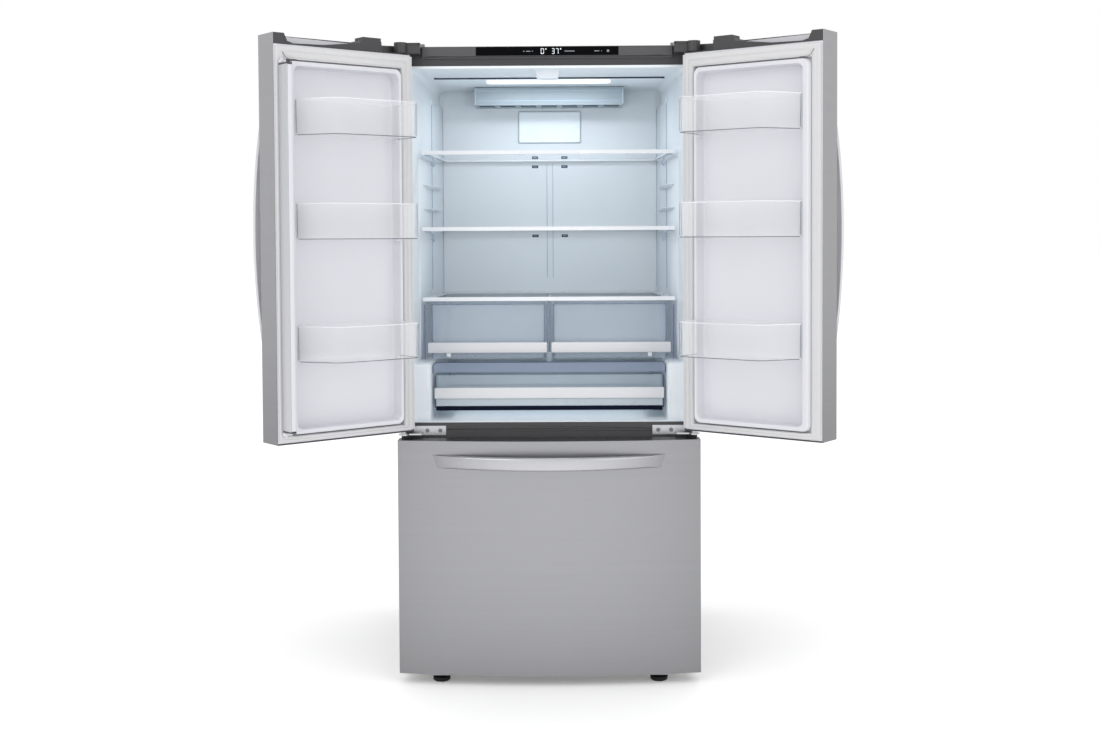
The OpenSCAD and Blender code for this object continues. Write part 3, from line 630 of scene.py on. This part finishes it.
for side in ("left", "right"):
    KEPT[side + "_door_skin"] = ("door_steel", 0.4)
    KEPT[side + "_door_liner"] = ("door_white", 0)
    KEPT[side + "_door_foam"] = ("foam", 0)
    KEPT[side + "_door_gasket"] = ("gasket", 0)
    KEPT[side + "_door_caps"] = ("dark_trim", 0.8)
    KEPT[side + "_handle"] = ("handle", 0)
    for i in (1, 2, 3):
        KEPT[f"{side}_bin_{i}"] = ("bin", 0)
for node, (mat, bevel) in KEPT.items():
    dress(node, mat, bevel)
# Faces of another material: outlet housing and blank plate of the duct, trimmed top hinges, the foam's edges
# behind, and the frame's front trim, pantry lip and glass
# The blank plate gets its lighter colour, painted light against the shade under the outlet housing
regions("air_duct", ("duct_tint", lambda p: p.z > 1639 and p.y < 598), ("plate", lambda p: p.y < 598))
regions("door_hinges", ("dark_trim", lambda p: p.z > 1000))
FOAM_BACK = (CABINET.inverted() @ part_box("cabinet_foam")[1]).y - 1
regions("cabinet_foam", ("galvanised", lambda p: p.y > FOAM_BACK))
regions("crisper_frame", ("white_trim", lambda p: p.z > 1040), ("lip", lambda p: p.y < 91 and p.z < 876),
        ("pane", lambda p: 859 < p.z < 868 and abs(p.x) > 4))

# ---------- doors ----------
# Outline of the low wall round the bins and of the recess inside it: x from and to, z from and to
DIKE = (-374, -32, 724, 1685)
RECESS = (-364, -50, 738, 1671)
# Heights of the bins' undersides, from the highest bin to the lowest
BIN_FLOORS = {side: [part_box(f"{side}_bin_{i}")[0].z * 1000 for i in (1, 2, 3)]
              for side in ("left", "right")}
# Depth of the face on which the gasket sits
GASKET_BASE = -19.8


def grown(r, d):
    """The limits r moved outwards by d."""
    return (r[0] - d, r[1] + d, r[2] - d, r[3] + d)


def door_liner(side):
    """Inner face of a door with its flange, low wall, recess and pegs, and the flipper's ears.
    Each step is (outline, corner radius, depth)."""
    flange = (-414.6, -3.9, 701, 1728)
    back = (-410, -8, 709, 1724)
    steps = [
        (back, 4, -37.4), (back, 4, -22.2), (flange, 3, -22), (flange, 3, -20.7),
        (grown(flange, -0.8), 3, -20), (grown(DIKE, 2.2), 20, -20), (grown(DIKE, 0.6), 19, -19),
        (DIKE, 18, -16), (grown(DIKE, -1), 18, 1), (grown(DIKE, -2), 18, 3.6), (grown(DIKE, -3.6), 17, 5),
        (grown(RECESS, 3.6), 17, 5), (grown(RECESS, 1.6), 16, 4.2), (grown(RECESS, 0.5), 16, 2),
        (RECESS, 16, -2), (grown(RECESS, -1), 18, -28), (grown(RECESS, -2.6), 18, -31.5),
        (grown(RECESS, -6), 18, -33.4), (grown(RECESS, -11), 18, -34),
    ]
    parts = [loft([xz(rect(*r, rad, 7), y) for r, rad, y in steps])]
    for floor_z in BIN_FLOORS[side]:
        for x in (RECESS[0] - 1, RECESS[1] - 5):
            parts.append(soft_box((x, -24, floor_z - 7), (x + 6, -4, floor_z - 0.6), 2))
    if side == "left":
        for z in (DIKE[2], DIKE[3] - 8):
            parts.append(soft_box((DIKE[1] - 2, -7, z), (-11, 5, z + 8), 1.5))
            parts.append(lathe([(3, z - 5), (3, z + 13)], (-18, 0, 0), n=20))
    on_door(side, "_door_inner_form", joined(*parts), "door_white", "door_liner_white", "_door_liner")


# Section of the gasket: share of the way from its outer to its inner outline, and depth
GASKET_SECTION = [
    (0, GASKET_BASE), (0, -4), (0.02, -1.9), (0.06, -0.9), (0.40, -0.9), (0.43, -1.9), (0.46, -0.9),
    (0.86, -0.9), (0.90, -2.4), (0.94, -1.0), (0.98, -1.6), (1, -4), (1, GASKET_BASE),
]


def door_gasket(side):
    """Gasket with a wide base; the run behind the flipper is flatter."""
    def outline(x0, x1, z0, z1):
        xs = (x0, -46, -34, x1)
        return [(x, z0) for x in xs] + [(x, z1) for x in reversed(xs)]
    outer = outline(-405, -7, 706, 1722)
    inner = outline(DIKE[0] - 3, DIKE[1] + 1, DIKE[2] - 3, DIKE[3] + 3)
    thick = [1, 1, 0.48, 0.48, 0.48, 0.48, 1, 1]
    rings = [[(a[0] + (b[0] - a[0]) * t, GASKET_BASE + (y - GASKET_BASE) * k, a[1] + (b[1] - a[1]) * t)
              for a, b, k in zip(outer, inner, thick)] for t, y in GASKET_SECTION]
    lip = soft_box((-411, GASKET_BASE, 706.2), (-404.6, -3.4, 1721.8), 1.2)
    on_door(side, "_gasket_form", joined(loft(rings, closed=True), lip), "gasket", "gasket_grey",
            "_door_gasket", smooth=50)
    # Dark mitre line at the upper corner of the handle side
    mitre = tube([(-24, -9.8, 1707), (-31, -6, 1693), (-36, -1.2, 1688.6), (-60, -0.9, 1688.4)], 0.8, 6)
    on_door(side, "_gasket_mitre", mitre, "mitre", "gasket_grey")


def flipper():
    """Folding strip: a metal face on a white housing, with dark end caps."""
    low, high = DIKE[2] + 9, DIKE[3] - 9
    place = DOOR["left"]
    housing = joined(soft_box((-27, -7.4, low + 5), (-12.8, 37.9, high - 5), 2.5),
                     soft_box((-26, -1.5, low + 40), (-24.6, 30, high - 40), 0.6))
    put("flipper_housing", housing, "door_white", "flipper", place, "flipper_grey", "flipper")
    plate = soft_box((-13, -7.2, low + 4), (-11, 37.6, high - 4), 0.9)
    put("flipper_plate", plate, "flipper", "flipper", place, "flipper_grey")
    ends = [soft_box((-26.8, -7.4, z), (-11.1, 37.8, z + 5.4), 1.5) for z in (low, high - 5.4)]
    ends.append(lathe([(5, high - 1), (5, high + 7), (4, high + 8.8), (2, high + 9)], (-21, 26, 0), n=24))
    put("flipper_ends", joined(*ends), "dark_trim", "flipper", place, "flipper_grey")


def door_handle(side):
    """Bowed bar handle; x is its middle, stand how far it stands off the door."""
    x, low, high, stand, thick = -20, 905, 1575, 58, 14
    mid, half = (low + high) / 2, (high - low) / 2
    front = front_at(x)
    r_out = (half * half + stand * stand) / (2 * stand)
    stations = 56
    rings = []
    for k in range(stations + 1):
        z = low + 10 + (high - low - 20) * k / stations
        dz = z - mid
        out = front - math.sqrt(r_out ** 2 - dz * dz) + r_out - stand
        inner = min(front + 0.4, front - math.sqrt((r_out - thick) ** 2 - dz * dz) + r_out - stand)
        out = min(out, inner - 1.0)
        # Half the bar's width, a little less towards its ends
        w = 12 - 1.5 * (abs(dz) / half) ** 4
        radii = [min(6, (inner - out) * 0.45)] * 2 + [min(3, (inner - out) * 0.3)] * 2
        rings.append(xy(rounded([(x - w, out), (x + w, out), (x + w, inner), (x - w, inner)], radii, 4), z))
    on_door(side, "_handle_form", loft(rings), "handle", "handle_steel", "_handle")


# A door bin: limits in x, corner radii of its outline, height, and depth at which its front rim starts
BIN_LEFT = RECESS[0] + 0.6
BIN_RIGHT = RECESS[1] - 0.6
BIN_RADII = [8, 8, 10, 40, 14, 10]
BIN_HEIGHT = 94
RIM_START = 6.5


def bin_plan(m):
    """Outline of a door bin, m inside its outer face."""
    return [
        (BIN_LEFT + m, -29.4 + m), (BIN_RIGHT - m, -29.4 + m), (BIN_RIGHT - m, 6 + m / 4),
        (-112 - m / 2, 112 - m), (BIN_LEFT + 16 + m / 2, 112 - m), (BIN_LEFT + m, 96 + m / 2),
    ]


def door_bin(side, index):
    """Clear bin with a thick rim and bottom edge along the front, from just outside the low wall; the rim is
    painted light as a highlight, and the bottom edge and corner lines are painted dark as shade.
    """
    low = BIN_FLOORS[side][index - 1]
    top = BIN_HEIGHT
    body, place = f"{side}_bin_{index}", DOOR[side]

    def outline(m, z):
        return xy(rounded(bin_plan(m), [max(2, r - m) for r in BIN_RADII], 6), low + z)

    def front_run(m, z):
        ring = outline(m, z)
        start = (ring[12][0], RIM_START, ring[0][2])
        end = (ring[-1][0], RIM_START, ring[0][2])
        return [start] + [p for p in ring if p[1] > RIM_START] + [end]

    def upright(x, y, bottom, dx, dy, r):
        return tube([(x, y, low + bottom), (x + dx, y + dy, low + top - 3)], r, 6)

    tub = loft([
        outline(9, 0), outline(5.5, 0.8), outline(4, 3.5), outline(0.6, top - 8), outline(0.2, top - 1),
        outline(0.8, top), outline(2.2, top), outline(2.8, top - 1), outline(3.2, top - 8),
        outline(6.4, 6), outline(8, 3.6), outline(12, 2.8),
    ])
    put(body + "_form", tub, "bin", body, place, "bin_clear", body)
    # Rim, bright as a painted highlight
    put(body + "_rim", tube(front_run(1.4, top - 1.4), 1.3, 8), "bin_rim", body, place, "bin_clear")
    # Bottom edge and corner lines, dark as painted shade
    edge = joined(tube(front_run(5.2, 1.6), 1.1, 8), upright(BIN_RIGHT - 2, 7, 6, 1, 0, 0.8),
                  upright(BIN_LEFT + 2, 94, 6, -1, 0, 0.8), upright(BIN_LEFT + 17, 109.5, 6, -1, 1.1, 0.6))
    put(body + "_edge", edge, "bin_edge", body, place, "bin_clear")


flipper()
for side in ("left", "right"):
    door_liner(side)
    door_gasket(side)
    door_handle(side)
    for i in (1, 2, 3):
        door_bin(side, i)


# ---------- freezer drawer handle ----------
def freezer_handle():
    """Bowed bar across the drawer; half is half its width, stand how far it stands off the drawer."""
    half, stand, low, high, thick = 322, 52, 600, 636, 15
    edge = front_at(half)
    reach = stand + SIDE_FRONT + BOW + edge
    r_out = (half * half + reach * reach) / (2 * reach)
    centre = edge - reach + r_out
    stations = 80
    rings = []
    for k in range(stations + 1):
        x = -half + 4 + (2 * half - 8) * k / stations
        out = centre - math.sqrt(r_out ** 2 - x * x)
        inner = min(front_at(x) + 0.3, centre - math.sqrt((r_out - thick) ** 2 - x * x))
        out = min(out, inner - 0.8)
        t = inner - out
        face, rear = min(7, t * 0.45), min(3, t * 0.3)
        section = rounded([(out, low), (inner, low), (inner, high), (out, high)], [face, rear, rear, face], 5)
        # The ends lean inwards towards the bottom
        rings.append([(x * (1 - 0.035 * (high - h) / (high - low)), y, h) for y, h in section])
    put("freezer_handle_form", loft(rings), "handle_x", "freezer_drawer", CABINET, "handle_steel",
        "freezer_handle")


freezer_handle()


# ---------- inside the fridge ----------
# Signs of x on the left and on the right, floor and ceiling of the compartment, face of the duct panel
SIDES = (-1, 1)
FLOOR = 716
CEILING = 1697
DUCT_FACE = 600


def wall_plate(s, y, z, r, near, far, inset=0.8):
    """Raised plate on a side wall; it stands off the wall by near at its front and far at its back."""
    rings = []
    for d, k in ((0, None), (0, 0.0), (inset * 0.3, 0.7), (inset, 1.0)):
        ring = []
        for py, pz in rect(y[0] + d, y[1] - d, z[0] + d, z[1] - d, max(r - d, 0.3)):
            off = -1.0 if k is None else k * (near + (far - near) * (py - y[0]) / (y[1] - y[0]))
            ring.append((s * (wall_at(py) - off), py, pz))
        rings.append(ring)
    return loft(rings)


def ledge(s, z):
    """Moulded shelf support that swells out of the wall and is hollowed below; z is its top."""
    rings = []
    for y, out, drop in ((198, 0.5, 2), (216, 3, 4), (250, 9, 7), (290, 14, 9), (330, 16, 9.4),
                         (520, 16, 9.4), (545, 12, 8), (556, 0.5, 2)):
        w = wall_at(y)
        ring = [(w + 1, z), (w - out, z), (w - out - 0.8, z - 1.2), (w - out * 0.7, z - drop * 0.7),
                (w + 1, z - drop)]
        rings.append([(s * x, y, h) for x, h in ring])
    return loft(rings)


def side_block(s):
    """Low thickened wall beside the pantry drawer."""
    inner, back, top = 333, 598, 876

    def ring(d, z):
        corners = [(wall_at(24) + 1, 23 + d), (inner + d, 33 + d), (inner + d, back - d),
                   (wall_at(back) + 1, back - d)]
        return xy([(s * x, y) for x, y in rounded(corners, [1, 14, 14, 1], 5)], z)
    return loft([ring(0, 715)] + [ring(10 * a, top - 10 * b) for a, b in quarter()])


def fridge_liner():
    """Inner shell with its front flange, side blocks and wall fields."""
    def ring(y, grow, r):
        w = wall_at(max(y, 0)) + grow
        return xz(rect(-w, w, FLOOR - grow, CEILING + grow, r, 6), y)

    def flange(y, d):
        return xz(rect(-380.2 + d, 380.2 - d, 714 + d, 1704.3 - d, 5, 6), y)
    parts = [loft([
        ring(642, 2, 24), ring(60, 2, 24), ring(1.2, 2, 8), flange(1.2, 0), flange(0.1, 0),
        flange(-0.3, 0.4), ring(-0.3, 0.9, 8), ring(0.4, 0.3, 8), ring(1.8, 0, 9), ring(60, 0, 20),
        ring(590, 0, 22), ring(598, -0.6, 22), ring(601.4, -3.5, 20), ring(602, -10, 16),
    ])]
    for s in SIDES:
        parts.append(side_block(s))
        # Field beside the shelves, and the bead that ends it at the top
        parts.append(wall_plate(s, (137, 396), (884, 1458), 8, 1.0, 1.0))
        bead = [(404, 2, 1640), (396, 2, 1650), (380, 1, 1652), (368, 1, 1642)]
        parts.append(tube([(s * (wall_at(y) - off), y, z) for y, off, z in bead], 1.6, 8))
        # Pressed outline on the front of the side block
        pocket = rect(340, 370, 726, 806, 10, 5)
        parts.append(tube([(s * x, 24 + (MOUTH - x) * 0.21, z) for x, z in pocket], 0.9, 6, closed=True))
    fixed("fridge_liner_form", joined(*parts), "liner_white", "liner_white", "fridge_liner")
    # Rear parts of the walls, standing forward up to the duct panel, coloured darker as painted shade
    rear = [wall_plate(s, (400, 602), (880, 1642), 12, 1.2, 9.4) for s in SIDES]
    fixed("fridge_liner_rear", joined(*rear), "liner_rear", "liner_white")
    # Dark seal of the slot across the ceiling, with a round pad at each end
    x0, x1, y = -329, 335, 228
    pads = [lathe([(0.5, -3.4), (6, -3.4), (6, 1)], (x, y, 1696.6), n=16) for x in (x0, x1)]
    seal = tube([(x0, y, 1696.2), (x1, y, 1696.2)], 3.4, 8)
    fixed("ceiling_slot_seal", joined(seal, *pads), "seal", "dark_trim")


def fittings():
    """Shelf ledges, pantry runners, the flipper's guide block and the hooks under the shelves."""
    parts = []
    for s in SIDES:
        for z in (1058, 1260, 1325, 1394, 1479):
            parts.append(ledge(s, z - 8.5))
        parts.append(side_box(s, (300, 318), (240, 560), (716.2, 737.6), 3))
    # Guide block, each section (half width, front, back, corner radius, height)
    guide = loft([xy(rect(-w, w, y0, y1, r), z) for w, y0, y1, r, z in (
        (28, 56, 92, 5, 1675), (29.5, 54.5, 93.5, 6, 1676), (32, 53, 95, 6, 1686), (35, 52, 96, 6, 1690),
        (35, 52, 96, 6, 1697.4))])
    groove = tube([(-14, 74, 1674.6), (0, 64, 1674.6), (16, 56, 1674.6)], 1.2, 8)
    fixed("fittings_form", joined(*parts, guide, groove), "liner_soft", "shelf_trim", "liner_fittings")
    # Sprung hooks under the two glass shelves: distance from the wall, depth, drop
    hook = [(0, 142, 0), (16, 146, 3), (24, 158, 10), (27, 176, 24), (23, 196, 30), (14, 214, 25)]
    w = wall_at(150) - 14
    hooks = [tube([(s * (w - off), y, z - drop) for off, y, drop in hook], 2.2, 8)
             for s in SIDES for z in (1468, 1249)]
    fixed("shelf_hooks", joined(*hooks), "hook", "shelf_trim")


def duct_details():
    """Lines and frames on the duct panel, its vents and the trim of the air outlet; the lines are painted
    shade in its grooves and the walls' corners, and dark boxes in the vents are painted shade.
    """
    y = DUCT_FACE
    frame_ring = rect(-96, 96, 1533, 1627, 5, 5)
    fixed("duct_plate_frame", tube(xz(frame_ring, y - 3), 1.1, 8, closed=True), "plate_edge", "liner_white")
    # Dark lines painted as shade: round the plate's seat, along the centre channel and in the corners where
    # the walls step and meet the panel
    seat = tube(xz(rect(-100.4, 100.4, 1528.6, 1631.4, 6, 5), y - 0.2), 0.8, 6, closed=True)
    edges = [tube([(x, y - 0.1, 1100), (x, y - 0.1, 1465)], 0.7, 6) for x in (-9.4, 9.4)]
    for s in SIDES:
        for wy, off in ((401, 1.6), (600.6, 9.6)):
            x = s * (wall_at(wy) - off)
            edges.append(tube([(x, wy, 1072), (x, wy, 1634)], 1.0, 6))
    fixed("duct_panel_shade_lines", joined(seat, *edges), "groove_line", "liner_white")
    # Dark boxes behind the vent openings are painted shade; the louvres sit in front of them
    vents, louvres = [], []
    for s in SIDES:
        for z in (1450, 1479, 1229):
            vents.append(side_box(s, (37, 57), (y + 0.6, y + 2.4), (z, z + 8.6), 0.5))
            louvres.append(side_box(s, (41, 53), (y - 0.2, y + 1.2), (z + 3.4, z + 5.2), 0.5))
    fixed("vent_shade", joined(*vents), "vent", "liner_white")
    fixed("vent_louvres", joined(*louvres), "hook", "liner_white")
    ribs = [soft_box((-222, y - 127, z), (222, y - 125.4, z + 3), 0.8) for z in (1652, 1683)]
    ends = [soft_box((x, y - 126.6, 1643), (x + 5, y - 121.6, 1692), 2) for x in (-231, 226)]
    fixed("outlet_ribs", joined(*ribs, *ends), "outlet_edge", "liner_white")


def upright_line(x, y, low, high, r=0.9, n=6):
    """Thin upright edge line."""
    return tube([(x, y, low), (x, y, high)], r, n)


def crisper(side):
    """Crisper drawer with its front bar, edge lines and humidity slider."""
    s = -1 if side == "left" else 1
    front, back = 144, 570

    def ring(d, z):
        corners = [(343 - d, front + d), (8 + d, front + d), (14 + d, back - d), (327 - d, back - d)]
        return xy([(s * x, y) for x, y in rounded(corners, max(2, 12 - d), 5)], z)
    tub = loft([
        ring(12, 877.6), ring(5, 878.6), ring(2, 883), ring(0.2, 1030), ring(0, 1036), ring(0.8, 1038),
        ring(2.2, 1038), ring(3, 1036), ring(3.2, 1030), ring(5, 886), ring(8, 881.6), ring(15, 880.6),
    ])
    body = side + "_crisper"
    put(body + "_form", tub, "smoke", body, CABINET, "crisper_smoke", body)
    bar = side_box(s, (6, 350), (128, 143.8), (897, 927), 2.6)
    put(body + "_bar", bar, "drawer_bar", body, CABINET, "crisper_smoke")
    lines = [upright_line(s * x, front + 0.4, 884, 1036) for x in (338, 13)]
    for x0, x1 in ((334, 334), (19, 17)):
        lines.append(tube([(s * x0, 560, 886), (s * x1, 150, 886)], 0.8, 6))
    lines.append(tube([(s * 338, 144.8, 1036.4), (s * 13, 144.8, 1036.4)], 1.0, 6))
    put(body + "_lines", joined(*lines), "smoke_edge", body, CABINET, "crisper_smoke")
    slider = side + "_humidity_slider"
    knob = joined(side_box(s, (284, 296), (127, 133), (885, 896.6), 2),
                  side_box(s, (286, 294), (131, 141), (888, 896.6), 1.5))
    put(slider + "_form", knob, "white_trim", slider, CABINET, "shelf_trim", slider)


def crisper_frame_lines():
    """Edges and foot of the frame round the crispers, and the dark edge of the pantry drawer's cover."""
    lines = [upright_line(s * (wall_at(140) - 13.5), 139.4, 881, 1036, 1.3, 8) for s in SIDES]
    lines.append(upright_line(0, 141.2, 900, 1046, 1.2, 8))
    fixed("crisper_frame_edges", joined(*lines), "smoke_edge", "crisper_smoke")
    w, low, high, arc = 331.4, 842.6, 874.4, 6
    # The lower corners are square, and each comes back as a run of equal points
    lip = rounded([(-w, low), (-w, high), (w, high), (w, low)], [0, 12, 12, 0], arc)[arc:-arc]
    fixed("pantry_lip_edge", tube(xz(lip, 83.8), 1.1, 8), "dark_edge", "crisper_smoke")
    fixed("crisper_frame_foot", soft_box((-8, 128, 868), (8, 142, 900), 3), "pantry", "crisper_smoke")


def pantry():
    """Wide low drawer with its bar, frosted skirt, dark foot and edge lines."""
    half, front, back = 326, 80, 560

    def ring(d, z):
        corners = [(-half + d, front + d), (half - d, front + d), (half - d, back - d), (-half + d, back - d)]
        return xy(rounded(corners, [max(2, 12 - d)] * 2 + [max(2, 14 - d)] * 2, 5), z)

    def piece(name, shape, mat, stands_for=None):
        put(name, shape, mat, "pantry_bin", CABINET, "pantry_clear", stands_for)
    tub = loft([
        ring(12, 738), ring(5, 739), ring(1.6, 743), ring(0, 836.5), ring(0.8, 838), ring(2.2, 838),
        ring(3, 836.5), ring(4.6, 746), ring(8, 742), ring(15, 741),
    ])
    piece("pantry_form", tub, "pantry", "pantry_bin")
    piece("pantry_bar", soft_box((-326, 68, 772), (326, 79.8, 803), 2.6), "drawer_bar")
    piece("pantry_skirt", soft_box((-322, 74, 750.5), (322, 80.4, 772.5), 1.5), "frosted")
    piece("pantry_foot", soft_box((-322, 73, 738.2), (322, 80.2, 750), 1.5), "navy")
    lines = [upright_line(s * 325, front + 1, 745, 836, 1.6) for s in SIDES]
    lines.append(tube([(-296, 81.4, 810), (296, 81.4, 810)], 1.0, 6))
    piece("pantry_lines", joined(*lines), "dark_edge")


fridge_liner()
fittings()
duct_details()
for side in ("left", "right"):
    crisper(side)
crisper_frame_lines()
pantry()


# ---------- display, door caps and rear screws ----------
SEGMENTS = {"0": "abcdef", "3": "abgcd", "7": "abc"}
# The lit parts of the display: depth from and to, just in front of its glass, and their middle height
LIT_FRONT, LIT_BACK = -11.5, -10.7
DISPLAY_Z = 1742.6


def lit(x, z, r):
    """Lit bar on the display; x and z are its limits."""
    return soft_box((x[0], LIT_FRONT, z[0]), (x[1], LIT_BACK, z[1]), r, 2)


def digit(char, x, w):
    """Seven-segment digit seen from the front, its middle at x, w wide."""
    z, h, t = DISPLAY_Z, 15, 1.3
    left, right = (x - w / 2, x - w / 2 + t), (x + w / 2 - t, x + w / 2)
    across = (x - w / 2 + t, x + w / 2 - t)
    upper, lower = (z + t / 2, z + h / 2 - t / 2), (z - h / 2 + t / 2, z - t / 2)
    spots = {
        "a": (across, (z + h / 2 - t, z + h / 2)), "g": (across, (z - t / 2, z + t / 2)),
        "d": (across, (z - h / 2, z - h / 2 + t)), "b": (right, upper), "c": (right, lower),
        "f": (left, upper), "e": (left, lower),
    }
    return [lit(*spots[k], 0.4) for k in SEGMENTS[char]]


def display():
    """Generic digits with their degree dots, and plain bars and a ring for the marks beside them."""
    z = DISPLAY_Z
    parts = digit("0", -13, 8.4) + digit("3", 16.4, 8) + digit("7", 27.4, 8)
    parts += [lit((x, x + 2.6), (z + 4.5, z + 7.5), 0.6) for x in (-4.5, 36)]
    fixed("display_digits", joined(*parts), "digits", "display_black")
    marks = [(-66, -62), (-58, -46), (-42, -39), (48, 76), (130, 144), (149, 151)]
    icons = [soft_box((a, -11.4, z - 1.4), (b, LIT_BACK, z + 1.2), 0.4, 2) for a, b in marks]
    icons.append(lathe([(1.6, -0.6), (3.6, -0.6), (3.6, 0.3)], (168, -10.9, z), "y", 20))
    fixed("display_marks", joined(*icons), "icons", "display_black")


def cap_details(side):
    """Light lining at the back of the long scooped recess in the door's top cap, and a dark strip."""
    outline = [(-36.5, 1754), (-45, 1738), (-62, 1733), (-106, 1734.6), (-150, 1736.2), (-205, 1743),
               (-256, 1749.6), (-258, 1753.4), (-150, 1754), (-39, 1755.4)]
    rings = [xz(outline, y) for y in (-74.8, -72.6)]
    on_door(side, "_cap_scoop", loft(rings), "door_white", "dark_trim", bevel=0.4)
    # Dark strip along the inside of the front skin, above the low end of the cap
    strip, low, high, steps = [], 1731.4, 1755.6, 8
    for k in range(steps + 1):
        x = -410 + 84 * k / steps
        y = front_at(x) + 1.3
        strip.append([(x, y, low), (x, y + 0.8, low), (x, y + 0.8, high), (x, y, high)])
    on_door(side, "_cap_strip", loft(strip), "dark_trim", "dark_trim")


# Profile of a screw: shank, flat underside and domed head
SCREW = [(2.4, -6), (2.4, 0), (5.2, 0), (5.2, 0.8), (4.4, 2.0), (2.2, 2.6), (1.2, 2.7)]


def screws(name, xs, zs, y):
    """Cross-head screws on the back, which is at depth y."""
    parts = []
    for x in xs:
        for z in zs:
            parts.append(lathe(SCREW, (x, y, z), "y", 20))
            for w, h in ((3, 0.5), (0.5, 3)):
                parts.append(soft_box((x - w, y + 2.2, z - h), (x + w, y + 2.9, z + h), 0.2, 2))
    fixed(name, joined(*parts), "hinge_steel", "galvanised")


display()
for side in ("left", "right"):
    cap_details(side)
screws("rear_panel_screws", (-390, 390), (420, 800, 1180, 1560, 1735), 726.4)
screws("machine_cover_screws", (-385, 385), (70, 290), 726)


# ---------- camera, light and floor ----------
# Camera fitted to the photo: angles in radians, place in the cabinet's millimetres, then the picture's width,
# the focal length and the shift in pixels, and the sensor's width in millimetres
YAW, PITCH, ROLL = -0.0096, 0.0356, 0.0054
STAND = (41.75, -3882.46, 1235.05)
PICTURE = 1100
FOCAL = 1396.42
SHIFT = 80
SENSOR = 36

# Colours of the lamp's light: straight from the lens, and scattered deeper inside
LED = (0.88, 0.95, 1.0)
SCATTERED = (0.9, 0.96, 1.0)
WHITE = (1, 1, 1, 1)


def camera():
    """Camera that shows the object as the photo does."""
    yaw, pitch, roll = YAW, PITCH, ROLL
    cy, sy, cp, sp = math.cos(yaw), math.sin(yaw), math.cos(pitch), math.sin(pitch)
    right0 = Vector((cy, -sy, 0))
    ahead = Vector((sy * cp, cy * cp, -sp))
    up0 = Vector((sy * sp, cy * sp, cp))
    right = right0 * math.cos(roll) - up0 * math.sin(roll)
    up = right0 * math.sin(roll) + up0 * math.cos(roll)
    data = bpy.data.cameras.new("camera")
    data.sensor_width = SENSOR
    data.lens = SENSOR * FOCAL / PICTURE
    data.shift_y = -SHIFT / PICTURE
    data.clip_end = 200
    ob = bpy.data.objects.new("camera", data)
    bpy.context.scene.collection.objects.link(ob)
    turn = Matrix((right, up, -ahead)).transposed().to_4x4()
    ob.matrix_world = Matrix.Translation(CABINET @ Vector(STAND)) @ turn
    bpy.context.scene.camera = ob


def area_light(name, at, aim, size, power, colour=(1, 1, 1)):
    """Soft light that the camera doesn't see."""
    data = bpy.data.lights.new(name, "AREA")
    data.shape = "RECTANGLE"
    data.size, data.size_y = size
    data.energy = power
    data.color = colour
    ob = bpy.data.objects.new(name, data)
    bpy.context.scene.collection.objects.link(ob)
    ob.location = at
    ob.rotation_euler = (Vector(aim) - Vector(at)).to_track_quat("-Z", "Y").to_euler()
    ob.visible_camera = False


def studio():
    """White world, two soft lights in front, the lamp's light inside, and a plain pale floor."""
    world = bpy.data.worlds.new("studio")
    bpy.context.scene.world = world
    world.use_nodes = True
    world.node_tree.nodes["Background"].inputs["Color"].default_value = WHITE
    world.node_tree.nodes["Background"].inputs["Strength"].default_value = 1.0
    area_light("key", (-2.6, -4.2, 3.4), (0, 0, 1.0), (2.6, 2.6), 34)
    area_light("fill", (3.0, -4.0, 2.4), (0, 0, 1.0), (2.6, 2.6), 22)
    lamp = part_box("ceiling_lamp")
    mid = (lamp[0] + lamp[1]) / 2
    area_light("led", (mid.x, mid.y, lamp[0].z - 0.004), (mid.x, mid.y, 0), (0.34, 0.08), 1.15, LED)
    # Soft light that fills the space behind the drawers
    for name, y, z, depth, power in (("led_shelf", 330, 1250, 0.3, 0.20), ("led_low", 330, 1034, 0.3, 0.34),
                                     ("led_pantry", 330, 856, 0.3, 0.42),
                                     ("led_floor", 165, 736, 0.18, 0.14)):
        area_light(name, CABINET @ Vector((0, y, z)), CABINET @ Vector((0, y, 0)), (0.56, depth), power,
                   SCATTERED)
    area_light("led_back", CABINET @ Vector((0, 250, 1560)), CABINET @ Vector((0, 602, 1700)), (0.6, 0.1),
               0.18, LED)
    floor = bpy.data.meshes.new("floor")
    r = 60
    floor.from_pydata([(-r, -r, 0), (r, -r, 0), (r, r, 0), (-r, r, 0)], [], [(0, 1, 2, 3)])
    m = Mat("floor_paint", srgb(253, 253, 253), 0.6)
    m.glow(WHITE, 0.17)
    m.tint(0.004, 0.5)
    m.wear(0.05, 3.0)
    floor.materials.append(m.mat)
    ob = bpy.data.objects.new("floor", floor)
    bpy.context.scene.collection.objects.link(ob)
    bpy.context.scene.view_settings.view_transform = "Standard"


camera()
studio()
